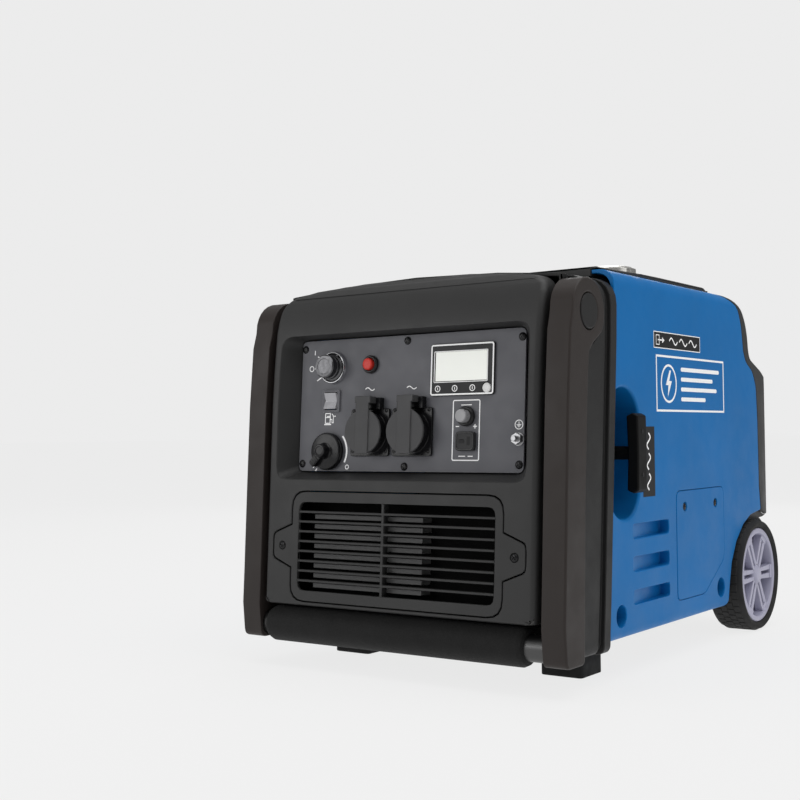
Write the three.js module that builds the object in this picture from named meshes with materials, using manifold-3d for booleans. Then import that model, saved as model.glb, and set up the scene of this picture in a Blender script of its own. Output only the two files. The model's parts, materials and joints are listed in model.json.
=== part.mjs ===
// Wheeled portable inverter generator with a fold-up trolley handle, in millimetres, +Z up.
// X runs across the generator (its pull starter is on the +X side) and Y runs from the
// handle end (Y = 0) to the exhaust end; the finished group is then centred on its origin.
import * as THREE from "three";
import { mergeVertices } from "three/addons/utils/BufferGeometryUtils.js";
import Module from "manifold-3d";

const wasm = await Module();
wasm.setup();

// ---- Driving dimensions -------------------------------------------------------------
const LENGTH = 597; // front of the grip to the back of the rear cover
const GAP = 0.4; // space left between neighbouring pieces
const WALL = 4; // thickness of the moulded covers

const SIDE_X = 193.3; // half width over the side panels
const FLANK_X = 194.5; // half width of the front housing behind the handle arms
const LIP_X = 197; // half width of the raised hoop at the back of the front housing
const COVER_X = 167.4; // half width of the front cover, between the handle arms
const BODY_TOP = 412; // top of the front housing and of the front cover's crown
const SIDE_TOP = 414.5; // top of the side panels and of the rear cover
const BODY_BOTTOM = 39; // underside of the side panels

const ARM_IN = 174; // inner face of a handle arm
const ARM_OUT = 199.3; // outer face of a handle arm
const PIVOT = { y: 59.5, z: 364 }; // handle pivot axis, along X
const BOSS_R = 33; // radius of the arm's round end
const PIN_R = 8;
const GRIP = { y: 20, z: 44, tube: 13, foam: 19, left: -168, right: 152 };

const COVER_BOTTOM = 68; // lower edge of the front cover, clear of the swinging grip
const RECESS = { x: 157, low: 200, high: 356, corner: 14 }; // rim of the control recess
const PANEL = { x: 141, height: 142, y: 30, z: 209, lean: 4.06, corner: 6 };
const SEAT = { x: 141.6, low: 208.2, high: 351.4 }; // opening the panel sits in
const GRILLE = { x: 131, low: 72.6, height: 115.4, lean: 3.6, y: 1.7 };

const WHEEL = { y: 509.5, r: 68.5, rim: 58, inner: 157, outer: 202, arch: 77 };
const AXLE_R = 8;
const FOOT = { x0: 110, x1: 158, y0: 112, y1: 158 };

const CAP = { x: 75, y: 355, r: 33.5, top: 446 }; // fuel filler cap
const TOP = { z: 420, plug: 167.4, eave: 174.5, under: 414.9, wall: 3.5, low: 406 };
const CRANK = { x: 0, z: 166 }; // crankshaft axis, along Y
const ROPE = { y: 160, z: 226, r: 2.5 }; // starter rope, along X
const PULLEY_R = 57;

// ---- Materials ----------------------------------------------------------------------
function material(color, roughness, metalness = 0) {
  return new THREE.MeshStandardMaterial({ color, roughness, metalness });
}
const MAT = {
  black: material(0x3a3a3b, 0.55),
  dark: material(0x1d1d1e, 0.6),
  blue: material(0x2668a8, 0.45),
  plate: material(0x45464c, 0.4),
  foam: material(0x1b1b1b, 0.95),
  rubber: material(0x171717, 0.85),
  rim: material(0xa9a8c0, 0.45),
  steel: material(0x9a9a9c, 0.35, 1),
  chrome: material(0xd2d2d4, 0.15, 1),
  silver: material(0xb9b7b0, 0.3, 1),
  red: material(0xc43a34, 0.4),
  screen: material(0xdfe3d6, 0.25),
  white: material(0xe6e6e6, 0.4),
  cast: material(0x8f9092, 0.5, 0.8),
  copper: material(0xa9653a, 0.4, 0.9),
};

// ---- Solids from three.js geometry --------------------------------------------------
// Makes a manifold solid of a closed geometry, whichever way round its faces run.
function solid(geometry) {
  const bare = new THREE.BufferGeometry();
  const source = geometry.index ? geometry.toNonIndexed() : geometry;
  bare.setAttribute("position", source.getAttribute("position"));
  const merged = mergeVertices(bare, 1e-4);
  const corners = merged.index.array;
  const triangles = [];
  for (let i = 0; i < corners.length; i += 3) {
    const [a, b, c] = [corners[i], corners[i + 1], corners[i + 2]];
    if (a !== b && b !== c && c !== a) triangles.push(a, b, c);
  }
  const vertProperties = merged.getAttribute("position").array;
  const build = (triVerts) =>
    new wasm.Manifold(new wasm.Mesh({ numProp: 3, vertProperties, triVerts }));
  const made = build(new Uint32Array(triangles));
  if (made.volume() > 0) return made;
  return build(new Uint32Array(triangles.reverse()));
}

// Turns a manifold solid into a named mesh.
function piece(name, body, mat) {
  const { vertProperties, triVerts } = body.getMesh();
  const geometry = new THREE.BufferGeometry();
  geometry.setAttribute("position", new THREE.BufferAttribute(vertProperties, 3));
  geometry.setIndex(new THREE.BufferAttribute(triVerts, 1));
  geometry.computeVertexNormals();
  const mesh = new THREE.Mesh(geometry, mat);
  mesh.name = name;
  return mesh;
}

const union = (...parts) => parts.reduce((sum, next) => sum.add(next));

// Prisms: a shape drawn in the plane across an axis, between two places along that axis.
function prism(shape, from, to, curveSegments) {
  const depth = to - from;
  return new THREE.ExtrudeGeometry(shape, { depth, bevelEnabled: false, curveSegments });
}
const BASIS_X = new THREE.Matrix4().makeBasis(
  new THREE.Vector3(0, 1, 0), new THREE.Vector3(0, 0, 1), new THREE.Vector3(1, 0, 0));
const BASIS_Y = new THREE.Matrix4().makeBasis(
  new THREE.Vector3(1, 0, 0), new THREE.Vector3(0, 0, 1), new THREE.Vector3(0, -1, 0));

// The shape is drawn in (Y, Z).
function alongX(shape, x0, x1, segments = 6) {
  return solid(prism(shape, x0, x1, segments).translate(0, 0, x0).applyMatrix4(BASIS_X));
}
// The shape is drawn in (X, Z).
function alongY(shape, y0, y1, segments = 6) {
  return solid(prism(shape, y0, y1, segments).translate(0, 0, -y1).applyMatrix4(BASIS_Y));
}
// The shape is drawn in (X, Y).
function alongZ(shape, z0, z1, segments = 6) {
  return solid(prism(shape, z0, z1, segments).translate(0, 0, z0));
}

function box(x0, x1, y0, y1, z0, z1) {
  const geometry = new THREE.BoxGeometry(x1 - x0, y1 - y0, z1 - z0);
  return solid(geometry.translate((x0 + x1) / 2, (y0 + y1) / 2, (z0 + z1) / 2));
}

// Round bars and turned pieces. A turned profile is a list of [radius, place along the axis].
const TURN = {
  x: (g) => g.rotateZ(-Math.PI / 2),
  y: (g) => g,
  z: (g) => g.rotateX(Math.PI / 2),
};
function bar(axis, r, from, to, [u, v], sides = 20) {
  return turned(axis, [[0, from], [r, from], [r, to], [0, to]], [u, v], sides);
}
function turned(axis, profile, [u, v], sides = 20) {
  const points = profile.map(([r, along]) => new THREE.Vector2(r, along));
  const geometry = TURN[axis](new THREE.LatheGeometry(points, sides));
  const place = { x: [0, u, v], y: [u, 0, v], z: [u, v, 0] }[axis];
  return solid(geometry.translate(...place));
}

// ---- Outlines -----------------------------------------------------------------------
// A closed outline through [u, v, radius] corners, each rounded by its radius if it has one.
function outline(corners) {
  const shape = new THREE.Shape();
  const count = corners.length;
  const at = (i) => new THREE.Vector2(...corners[(i + count) % count]);
  for (let i = 0; i < count; i += 1) {
    const [corner, before, after] = [at(i), at(i - 1), at(i + 1)];
    const cut = corners[i][2] || 0;
    const enter = corner.clone().add(before.sub(corner).setLength(cut));
    const leave = corner.clone().add(after.sub(corner).setLength(cut));
    if (i === 0) shape.moveTo(enter.x, enter.y);
    else shape.lineTo(enter.x, enter.y);
    if (cut) shape.quadraticCurveTo(corner.x, corner.y, leave.x, leave.y);
  }
  shape.closePath();
  return shape;
}
const rounded = (u0, u1, v0, v1, r) =>
  outline([[u0, v0, r], [u1, v0, r], [u1, v1, r], [u0, v1, r]]);

function circle(u, v, r) {
  return new THREE.Shape().absarc(u, v, r, 0, Math.PI * 2);
}
function stadium(u0, u1, v0, v1) {
  const r = (u1 - u0) / 2;
  const shape = new THREE.Shape().absarc(u0 + r, v0 + r, r, Math.PI, Math.PI * 2);
  return shape.absarc(u0 + r, v1 - r, r, 0, Math.PI);
}
// Points on a smooth curve through the given ones.
const curve = (points, count) =>
  new THREE.SplineCurve(points.map(([u, v]) => new THREE.Vector2(u, v)))
    .getPoints(count).map((p) => [p.x, p.y]);

// Cross-section of the front housing: round shoulders, and a top that rises by its crown.
function section(inset, half = FLANK_X, low = 32) {
  const [shoulder, crown] = [26, 11];
  const top = BODY_TOP - inset;
  const x = half - inset;
  return outline([
    [-x, low + inset, 10], [x, low + inset, 10], [x, top - crown, shoulder],
    [x / 2, top - crown / 4], [0, top], [-x / 2, top - crown / 4],
    [-x, top - crown, shoulder],
  ]);
}

// Cross-section of the body behind the hoop.
function rearSection(inset, low) {
  const [x, top] = [SIDE_X - inset, SIDE_TOP - inset];
  return outline([
    [-x, low + inset, 10], [x, low + inset, 10], [x, top - 2, 18], [x / 2, top - 0.5], [0, top],
    [-x / 2, top - 0.5], [-x, top - 2, 18],
  ]);
}

// ---- Front housing, front cover and grille ------------------------------------------
// Front face of the cover, from its lower edge up and over to the crown, as [y, z].
const COVER_FACE = curve([[1.1, COVER_BOTTOM], [3.3, 104], [8.6, 188], [14.5, 280],
  [21, 345], [26.5, 372], [36, 393], [46, 404], [58, BODY_TOP - 1]], 16);
const coverY = (z) => {
  const i = COVER_FACE.findIndex(([, high]) => high >= z);
  const [[ya, za], [yb, zb]] = [COVER_FACE[Math.max(i - 1, 0)], COVER_FACE[Math.max(i, 1)]];
  return ya + ((yb - ya) * (z - za)) / (zb - za);
};

// Rear edge of the housing's raised hoop, which leans back towards the top.
const HOOP_EDGE = [[99, 46], [102.7, 83], [110.6, 180], [123, 340], [124.5, 378]];
const hoopEdge = (shift) => HOOP_EDGE.map(([y, z]) => [y + shift, z]);

// Back edge of a handle arm, from the neck under its boss down to the tip.
const ARM_BACK = [[59, 325], [55.5, 297], [47, 184], [43, 90], [41, 42]];

// The pocket around an arm's boss and down behind the arm.
function pocketEdge(space) {
  const points = [];
  const r = BOSS_R + space;
  for (let degrees = 75; degrees >= -75; degrees -= 15) {
    const angle = THREE.MathUtils.degToRad(degrees);
    points.push([PIVOT.y + r * Math.cos(angle), PIVOT.z + r * Math.sin(angle)]);
  }
  return [...points, ...ARM_BACK.map(([y, z]) => [y + space, z])];
}

const ARM_SPACE = 1.5; // around the swinging arm

function housingShell() {
  const edge = pocketEdge(ARM_SPACE);
  const flank = outline([
    [edge[0][0], 401.5], ...edge, [42.5, 32, 4], [84, 32, 8], ...HOOP_EDGE, [124, 403, 24],
  ]);
  const middle = outline([
    [58.6, 413], [58.6, 66], [44, 60], [44, 32], [84, 32, 8], ...HOOP_EDGE, [124, 413],
  ]);
  const left = alongX(flank, -FLANK_X, -171, 4);
  const right = alongX(flank, 171, FLANK_X, 4);
  const whole = union(alongX(middle, -171.5, 171.5, 4), left, right);
  return whole.intersect(alongY(section(0), 20, 140, 5));
}

function housingHollow() {
  const wall = 3.4;
  const edge = pocketEdge(ARM_SPACE + wall).filter(([y, z]) => y > PIVOT.y + 20 || z < 340);
  const flank = outline([[edge[0][0], 399], ...edge, [47, 36], [140, 36], [140, 399]]);
  const middle = outline([[20, 420], [20, 70], [48, 64], [48, 36], [140, 36], [140, 420]]);
  const core = union(alongX(flank, -FLANK_X, FLANK_X, 4), alongX(middle, -166.8, 166.8, 4));
  return core.intersect(alongY(section(wall), 10, 150, 5));
}

function pocketWall(side) {
  const face = COVER_FACE.filter(([, z]) => z > 74 && z < 392).map(([y, z]) => [y + 12, z]);
  const shape = outline([[52, 74], ...face, [62, 397], [70, 397], [70, 74]]);
  return side > 0 ? alongX(shape, 168, 171.2) : alongX(shape, -171.2, -168);
}

function frontHousing() {
  const band = (near, far, half) =>
    alongX(outline([...hoopEdge(-near), [124 - near, 420], [124 - far, 420],
      ...hoopEdge(-far).reverse(), [99 - far, 20], [99 - near, 20]]), -half, half, 3);
  const lip = band(0, 14, LIP_X).intersect(alongY(section(0, LIP_X, 31), 60, 140, 5));
  const groove = band(13.9, 21, 210).subtract(alongY(section(2.4), 60, 140, 5));
  const shell = union(housingShell().subtract(groove), lip).subtract(housingHollow());
  const pins = bar("x", PIN_R + GAP, -175, 175, [PIVOT.y, PIVOT.z], 16);
  return piece("front_housing", union(shell, pocketWall(-1), pocketWall(1)).subtract(pins),
    MAT.black);
}

// Outline of the front cover: arched top, round upper corners.
function coverOutline(inset) {
  const x = COVER_X - inset;
  const crown = [0.75, 0.4, 0, -0.4, -0.75].map((k) => [k * x, BODY_TOP - inset - 12 * k * k]);
  return outline([[-x, COVER_BOTTOM + inset, 3], [x, COVER_BOTTOM + inset, 3],
    [x, BODY_TOP - 13 - inset, 20], ...crown, [-x, BODY_TOP - 13 - inset, 20]]);
}

// A round-cornered funnel from the rim of the recess back to the panel's seat.
function funnel(grow) {
  const rim = { x: RECESS.x + grow, low: RECESS.low - grow, high: RECESS.high + grow };
  const seat = { x: SEAT.x + grow, low: SEAT.low - grow, high: SEAT.high + grow };
  const shape = rounded(-rim.x, rim.x, rim.low, rim.high, RECESS.corner + grow);
  const geometry = prism(shape, 0, 1, 4).applyMatrix4(BASIS_Y);
  const place = geometry.getAttribute("position");
  for (let i = 0; i < place.count; i += 1) {
    const up = (place.getZ(i) - rim.low) / (rim.high - rim.low);
    const x = (place.getX(i) * seat.x) / rim.x;
    if (place.getY(i) < -0.5) place.setY(i, 7 + 12.5 * up);
    else place.setXYZ(i, x, 34 + 10 * up + grow / 4, seat.low + up * (seat.high - seat.low));
  }
  return solid(geometry);
}

function frontCover() {
  const back = 58.2;
  const face = outline([...COVER_FACE, [back, BODY_TOP + 2], [back, COVER_BOTTOM]]);
  const inside = outline([...COVER_FACE.map(([y, z]) => [y + WALL, z]),
    [70, BODY_TOP + 2], [70, COVER_BOTTOM - 5]]);
  const skin = alongX(face, -COVER_X, COVER_X).intersect(alongY(coverOutline(0), -5, 80));
  const hollow = alongX(inside, -200, 200).intersect(alongY(coverOutline(WALL), -5, 80));
  const toeSpace = box(-200, 200, 40, 80, 60, COVER_BOTTOM + 6);
  const shell = skin.subtract(hollow).subtract(toeSpace);
  const tub = funnel(3).intersect(alongX(face, -200, 200));
  const seat = alongY(rounded(-SEAT.x, SEAT.x, SEAT.low, SEAT.high, PANEL.corner), 28, 80, 4);
  const body = union(shell, tub).subtract(funnel(0)).subtract(seat);
  return piece("front_cover", body.subtract(grilleOpening()), MAT.black);
}

// The grille's outline in its own plane: a rounded rectangle with a screw tab each side.
function grilleOutline(grow) {
  const [x, h] = [GRILLE.x + grow, GRILLE.height + grow];
  const tab = { x: 156 + grow, low: 37 - grow, high: 78 + grow };
  const side = (s) => [[s * x, tab.low - 2], [s * tab.x, tab.low + 8, 5],
    [s * tab.x, tab.high - 8, 5], [s * x, tab.high + 2]];
  return outline([[-x, -grow, 18], [x, -grow, 18], ...side(1), [x, h, 18], [-x, h, 18],
    ...side(-1).reverse()]);
}
const GRILLE_PLACE = new THREE.Matrix4()
  .makeRotationX(THREE.MathUtils.degToRad(-GRILLE.lean)).setPosition(0, GRILLE.y, GRILLE.low);

function grilleOpening() {
  const geometry = prism(grilleOutline(1.2), -12, 12, 4);
  geometry.translate(0, 0, -12).applyMatrix4(BASIS_Y).applyMatrix4(GRILLE_PLACE);
  return solid(geometry);
}

function intakeGrille() {
  const slats = 8;
  const window = { x: 122, low: 10.9, high: 104.4 };
  const pitch = (window.high - window.low) / (slats + 1);
  let body = alongY(grilleOutline(0), 0, WALL, 4);
  body = body.subtract(alongY(rounded(-window.x, window.x, window.low, window.high, 8), -1, 9, 3));
  for (let i = 1; i <= slats; i += 1) {
    const z = window.low + i * pitch;
    body = body.add(box(-window.x - 1, window.x + 1, 0.6, 9, z - 1.2, z + 1.2));
  }
  body = body.add(box(-13.5, -10.5, 0.6, 9, window.low - 1, window.high + 1));
  for (const x of [-144, 144])
    body = body.subtract(bar("y", 4.6, -1, 2.2, [x, 57.5], 14));
  const mesh = piece("intake_grille", body, MAT.black);
  mesh.applyMatrix4(GRILLE_PLACE);
  return mesh;
}

// ---- Handle -------------------------------------------------------------------------
function armOutline() {
  const arc = [];
  for (let degrees = 165; degrees >= -35; degrees -= 12.5) {
    const angle = THREE.MathUtils.degToRad(degrees);
    arc.push([PIVOT.y + BOSS_R * Math.cos(angle), PIVOT.z + BOSS_R * Math.sin(angle)]);
  }
  const front = [[1, 66], [3.3, 100], [8.6, 188], [14.5, 280], [21, 345], [26.2, 362]];
  return outline([[4, 29, 8], ...front, ...arc, [66, 332, 5], ...ARM_BACK.slice(0, 4),
    [40.5, 29, 6]]);
}

function handleArm(side) {
  const [inner, outer] = [ARM_IN, ARM_OUT];
  const ribs = { first: 70, pitch: 20.8, count: 12, wall: 2.6 };
  let body = alongX(armOutline(), inner, outer, 4);
  for (let i = 0; i < ribs.count; i += 1) {
    const low = ribs.first + i * ribs.pitch;
    const high = low + ribs.pitch - ribs.wall;
    const front = coverY(Math.max(high, COVER_BOTTOM)) + WALL;
    body = body.subtract(box(inner + 3, outer - 3, front, 70, low, high));
  }
  const pivot = [PIVOT.y, PIVOT.z];
  body = body.subtract(bar("x", PIN_R + GAP, inner - 1, outer + 1, pivot, 16));
  body = body.subtract(bar("x", 18, outer - 3.2, outer + 1, pivot, 32));
  body = body.subtract(bar("x", GRIP.tube + GAP, inner - 1, inner + 16, [GRIP.y, GRIP.z]));
  const mesh = piece(side > 0 ? "handle_arm_right" : "handle_arm_left", body, MAT.black);
  mesh.scale.x = side;
  return mesh;
}

function handleTube() {
  const end = ARM_IN + 15.5;
  const [r, bore] = [GRIP.tube, GRIP.tube - 1.6];
  const profile = [[bore, -end], [r, -end], [r, end], [bore, end], [bore, -end]];
  return piece("handle_tube", turned("x", profile, [GRIP.y, GRIP.z]), MAT.steel);
}

function gripFoam() {
  const [bore, r, round] = [GRIP.tube + GAP, GRIP.foam, 5];
  const { left, right } = GRIP;
  const profile = [[bore, left], [r - round, left], [r, left + round],
    [r, right - round], [r - round, right], [bore, right], [bore, left]];
  return piece("grip_foam", turned("x", profile, [GRIP.y, GRIP.z]), MAT.foam);
}

function pivotPin(side) {
  const face = ARM_OUT - 2.8;
  const profile = [[0, 168.2], [PIN_R, 168.2], [PIN_R, face], [17.5, face], [17.5, ARM_OUT - 0.4],
    [16.5, ARM_OUT + 0.4], [0, ARM_OUT + 0.4]];
  const name = side > 0 ? "pivot_pin_right" : "pivot_pin_left";
  const mesh = piece(name, turned("x", profile, [PIVOT.y, PIVOT.z], 20), MAT.black);
  mesh.scale.x = side;
  return mesh;
}

// ---- Side panels --------------------------------------------------------------------
// Rear edge of a side panel over the wheel and up the rear cover, from the bottom up.
const PANEL_BACK = [[420, 39, 6], [426.5, 66], [434, 90.6], [450, 114], [474.5, 133],
  [499, 143], [536, 147.5, 3], [531.5, 178], [530, 262], [526.5, 303, 6], [515, 322, 8],
  [491.6, 333, 8], [484, 347], [478.5, 378, 8], [467, 399, 10], [432, 410.5], [421, 412.6]];

function panelProfile() {
  const front = [...hoopEdge(GAP + 0.3)].reverse();
  return outline([[99.8, BODY_BOTTOM - 1], ...PANEL_BACK, [421, SIDE_TOP + 2],
    [127, SIDE_TOP + 2], ...front]);
}

const HATCH = [[272, 62.6, 8], [348, 62.6, 8], [409.6, 98.5, 10], [409.6, 181.7, 10],
  [272, 181.7, 10]];
const grown = (corners, by) => {
  const [cy, cz] = [341, 122];
  return corners.map(([y, z, r]) => [y + by * Math.sign(y - cy), z + by * Math.sign(z - cz), r]);
};
const VENTS = [[138, 153], [104.3, 119.5], [70.6, 85.3]];
const VENT = { y0: 161, y1: 251.5, shallow: 1.8, deep: 12 };
const BOLT_WELLS = [[131.8, 62.9], [398.5, 64.1]];
const RECOIL_WELL = { y0: 107, y1: 180, z0: 159, z1: 293, depth: 30 };

// A moulded pocket in the panel: its outer skin and the hollow that opens outwards.
function pocket(shape, inner, depth, segments) {
  const skin = alongX(shape, SIDE_X - depth - 3, SIDE_X - 2.9, segments);
  const hollow = alongX(inner, SIDE_X - depth, SIDE_X + 5, segments);
  return { skin, hollow };
}

// A vent pocket whose floor slopes in from its front end to its rear end.
function ventPocket([z0, z1]) {
  const { y0, y1, shallow, deep } = VENT;
  const mouth = (grow, r) =>
    alongX(rounded(y0 - grow, y1 + grow, z0 - grow, z1 + grow, r), 170, 210, 2);
  const wedge = (grow, face) => alongZ(outline([[face, y0 - grow],
    [SIDE_X - shallow - grow, y0 - grow], [SIDE_X - deep - grow, y1 - deep],
    [SIDE_X - deep - grow, y1 + grow], [face, y1 + grow]]), z0 - 4, z1 + 4);
  return {
    skin: wedge(3, SIDE_X - 2.9).intersect(mouth(3, 0)),
    hollow: wedge(0, SIDE_X + 5).intersect(mouth(0, 4)),
  };
}

function panelPockets(side) {
  const pockets = VENTS.map(ventPocket);
  for (const [y, z] of BOLT_WELLS)
    pockets.push(pocket(circle(y, z, 14), circle(y, z, 11.5), 16, 8));
  const w = RECOIL_WELL;
  if (side > 0)
    pockets.push(pocket(stadium(w.y0 - 3, w.y1 + 3, w.z0 - 3, w.z1 + 3),
      stadium(w.y0, w.y1, w.z0, w.z1), w.depth, 8));
  return pockets;
}

function sidePanel(side) {
  const ring = alongY(rearSection(0, BODY_BOTTOM), 90, 560)
    .subtract(alongY(rearSection(WALL, BODY_BOTTOM), 80, 570));
  let body = ring.intersect(alongX(panelProfile(), 168, 200, 3));
  body = body.subtract(alongX(outline([...hoopEdge(0.5), [125, 430], [60, 430], [60, 20],
    [99.6, 20]]), 150, 210, 2));
  const pockets = panelPockets(side);
  for (const { skin } of pockets) body = body.add(skin);
  for (const { hollow } of pockets) body = body.subtract(hollow);
  body = body.subtract(alongX(outline(grown(HATCH, 0.5)), 180, 200, 3));
  const rebate = alongX(outline(grown(HATCH, 5)), SIDE_X - 7, SIDE_X - WALL + 0.4, 3);
  body = body.add(rebate.subtract(alongX(outline(grown(HATCH, -5)), 180, 200, 3)));
  if (side > 0)
    body = body.subtract(bar("x", 5, 150, 175, [ROPE.y, ROPE.z], 12));
  const mesh = piece(side > 0 ? "side_panel_right" : "side_panel_left", body, MAT.blue);
  mesh.scale.x = side;
  return mesh;
}

function serviceHatch(side) {
  let body = alongX(outline(HATCH), SIDE_X - 3.2, SIDE_X + 0.3, 3);
  for (const y of [295, 384])
    body = body.subtract(bar("x", 5.5, SIDE_X - 1.8, SIDE_X + 2, [y, 164], 14));
  const mesh = piece(side > 0 ? "service_hatch_right" : "service_hatch_left", body, MAT.blue);
  mesh.scale.x = side;
  return mesh;
}

// ---- Top and rear covers ------------------------------------------------------------
// The top cover's upper line, as [y, z]: it rises over the tank and drops at its rear end.
const TOP_LINE = [[127.5, 415.6], [144, 415.8], [225, 418.2], [290, 420], [404, 420],
  [415, 415.6], [420.6, 415.6]];

function topCover() {
  const { z, plug, eave, under, wall, low } = TOP;
  const half = [[plug, low], [plug, under], [eave, under], [eave, z - 1.6, 1.2],
    [plug / 2, z - 0.2]];
  const mirrored = half.map(([x, up, r]) => [-x, up, r]).reverse();
  const inner = rounded(wall - plug, plug - wall, low - 15, z - wall, 8);
  const [front, back] = [TOP_LINE[0][0], TOP_LINE[TOP_LINE.length - 1][0]];
  const ends = outline([[front, 390], ...TOP_LINE, [back, 390]]);
  const insideLine = TOP_LINE.map(([y, up]) =>
    [THREE.MathUtils.clamp(y, front + wall, back - wall), up - wall]);
  const inside = outline([[front + wall, 380], ...insideLine, [back - wall, 380]]);
  const skin = alongY(outline([...half, [0, z], ...mirrored]), front, back, 3)
    .intersect(alongX(ends, -200, 200));
  const hollow = alongY(inner, front, back, 3).intersect(alongX(inside, -200, 200));
  const filler = bar("z", 31, 390, 430, [CAP.x, CAP.y], 28);
  return piece("top_cover", skin.subtract(hollow).subtract(filler), MAT.black);
}

// Silhouette of the rear cover from its front edge on top to its lower rear corner.
const REAR_TOP = [[421.4, SIDE_TOP - 0.5], [436, 413], [462, 406, 8], [481, 396.5, 8],
  [493, 382, 8], [499.5, 366, 8], [502.5, 346, 6], [508, 336.5, 5], [530, 328.5, 6],
  [562, 316.5, 10], [585, 297, 10], [596.5, 263], [595, 157], [594, 141, 3]];
const REAR_CORNER = 54; // how far the rounding of its upright corners reaches

function rearProfile(inset) {
  const top = REAR_TOP.map(([y, z, r]) => [y - inset * (y > 480 ? 1 : 0.4), z - inset, r]);
  top[top.length - 1][1] = inset ? 120 : 141;
  return top;
}

function rearCover() {
  const seam = PANEL_BACK.slice(6).map(([y, z, r]) => [y + 0.7, z + 0.5, r]);
  const outer = outline([...rearProfile(0), [560, 141], ...seam]);
  const inner = outline([...rearProfile(WALL), [400, 120], [400, SIDE_TOP - WALL - 0.5]]);
  const plan = (inset) => outline([
    [-SIDE_X + inset, 380], [SIDE_X - inset, 380], [SIDE_X - inset, LENGTH - inset, REAR_CORNER],
    [-SIDE_X + inset, LENGTH - inset, REAR_CORNER]]);
  const around = (inset) => alongY(rearSection(inset, 20), 380, 640)
    .intersect(alongZ(plan(inset), 0, 460));
  const skin = alongX(outer, -SIDE_X, SIDE_X, 3).intersect(around(0));
  const hollow = alongX(inner, -SIDE_X, SIDE_X, 3).intersect(around(WALL));
  let body = skin.subtract(hollow);
  for (let i = 0; i < 7; i += 1) {
    const z = 168 + i * 17;
    body = body.subtract(box(-150, -20, 570, 620, z, z + 8));
  }
  body = body.subtract(bar("y", 32, 570, 620, [95, 226], 28));
  return piece("rear_cover", body, MAT.black);
}

function exhaustOutlet() {
  const profile = [[15, 560], [20, 560], [20, 590], [31.5, 590], [31.5, 596], [15, 596],
    [15, 560]];
  return piece("exhaust_outlet", turned("y", profile, [95, 226], 24), MAT.steel);
}

// ---- Chassis, axle, wheels and feet -------------------------------------------------
function chassis() {
  const well = WHEEL.inner - 6;
  const plate = alongZ(outline([[-164, 104], [164, 104], [164, 424, 10], [well, 432],
    [well, 588], [-well, 588], [-well, 432], [-164, 424, 10]]), 41, 45);
  const back = box(-well, well, 584, 588, 44, 140);
  let body = union(plate, back);
  for (const s of [-1, 1]) {
    const [x0, x1] = [Math.min(s * well, s * (well - 4)), Math.max(s * well, s * (well - 4))];
    const web = outline([[428, 44], [586, 44], [586, 120, 10], [552, 147, 20],
      [467, 147, 20], [428, 90]]);
    body = body.add(alongX(web, x0, x1, 4)).add(wheelArch(s));
  }
  body = body.subtract(bar("x", AXLE_R + GAP, -200, 200, [WHEEL.y, WHEEL.r], 20));
  return piece("chassis_tray", body, MAT.black);
}

// A liner over a wheel, with a lip that closes the gap up to the side panel and rear cover.
function wheelArch(side) {
  const [r, thick] = [WHEEL.arch - 1, 2.5];
  const [start, end] = [0.31 * Math.PI, 1.02 * Math.PI];
  const shape = new THREE.Shape();
  shape.absarc(WHEEL.y, WHEEL.r, r, start, end, false);
  shape.absarc(WHEEL.y, WHEEL.r, r - thick, end, start, true);
  const arc = [66, 78, 90, 102, 114, 126].map((degrees) => {
    const angle = THREE.MathUtils.degToRad(degrees);
    return [WHEEL.y + (r - 1) * Math.cos(angle), WHEEL.r + (r - 1) * Math.sin(angle)];
  });
  const lip = outline([...arc, [474, 147], [535, 147], [559.5, 140.4], [566, 140.4],
    [553, 137.5]]);
  const [near, far] = [WHEEL.inner - 8, SIDE_X - WALL - GAP];
  const whole = alongX(shape, near, far, 10).add(alongX(lip, far - 3, far));
  return side > 0 ? whole : whole.mirror([1, 0, 0]);
}

function wheelAxle() {
  const end = WHEEL.outer - 4;
  return piece("wheel_axle",
    bar("x", AXLE_R, -end, end, [WHEEL.y, WHEEL.r], 16), MAT.steel);
}

function tyre(side) {
  const { inner, outer, r, rim } = WHEEL;
  const seat = rim + 0.4;
  const profile = [[seat, inner + 4], [r - 4, inner], [r, inner + 7], [r, outer - 7],
    [r - 4, outer], [seat, outer - 4], [seat, inner + 4]];
  const body = turned("x", profile, [0, 0], 32);
  const mesh = piece(side > 0 ? "tyre_right" : "tyre_left", body, MAT.rubber);
  mesh.position.set(0, WHEEL.y, WHEEL.r);
  mesh.scale.x = side;
  return mesh;
}

function wheelRim(side) {
  const { inner, outer, rim } = WHEEL;
  const [bore, hub, lip] = [AXLE_R + GAP, 15, 5];
  const ring = turned("x", [[rim - lip, inner + 5], [rim, inner + 5], [rim, outer - 5],
    [rim - lip, outer - 5], [rim - lip, inner + 5]], [0, 0], 32);
  const barrel = turned("x", [[bore, inner + 2], [hub, inner + 2], [hub, outer - 8],
    [bore, outer - 8], [bore, inner + 2]], [0, 0], 16);
  let body = ring.add(barrel);
  const spokes = 6;
  for (let i = 0; i < spokes; i += 1) {
    const angle = (i * 2 * Math.PI) / spokes + Math.PI / 6;
    const length = rim - lip + 1 - hub + 3;
    const spoke = new THREE.BoxGeometry(8, 17, length);
    spoke.translate(outer - 14, 0, hub - 3 + length / 2).rotateX(angle);
    body = body.add(solid(spoke));
  }
  const mesh = piece(side > 0 ? "wheel_rim_right" : "wheel_rim_left", body, MAT.rim);
  mesh.position.set(0, WHEEL.y, WHEEL.r);
  mesh.scale.x = side;
  return mesh;
}

function foot(side) {
  const { x0, x1, y0, y1 } = FOOT;
  const lower = alongZ(rounded(x0, x1, y0, y1, 5), 0, 40.6, 3);
  const mesh = piece(side > 0 ? "foot_right" : "foot_left", lower, MAT.rubber);
  mesh.scale.x = side;
  return mesh;
}

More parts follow.
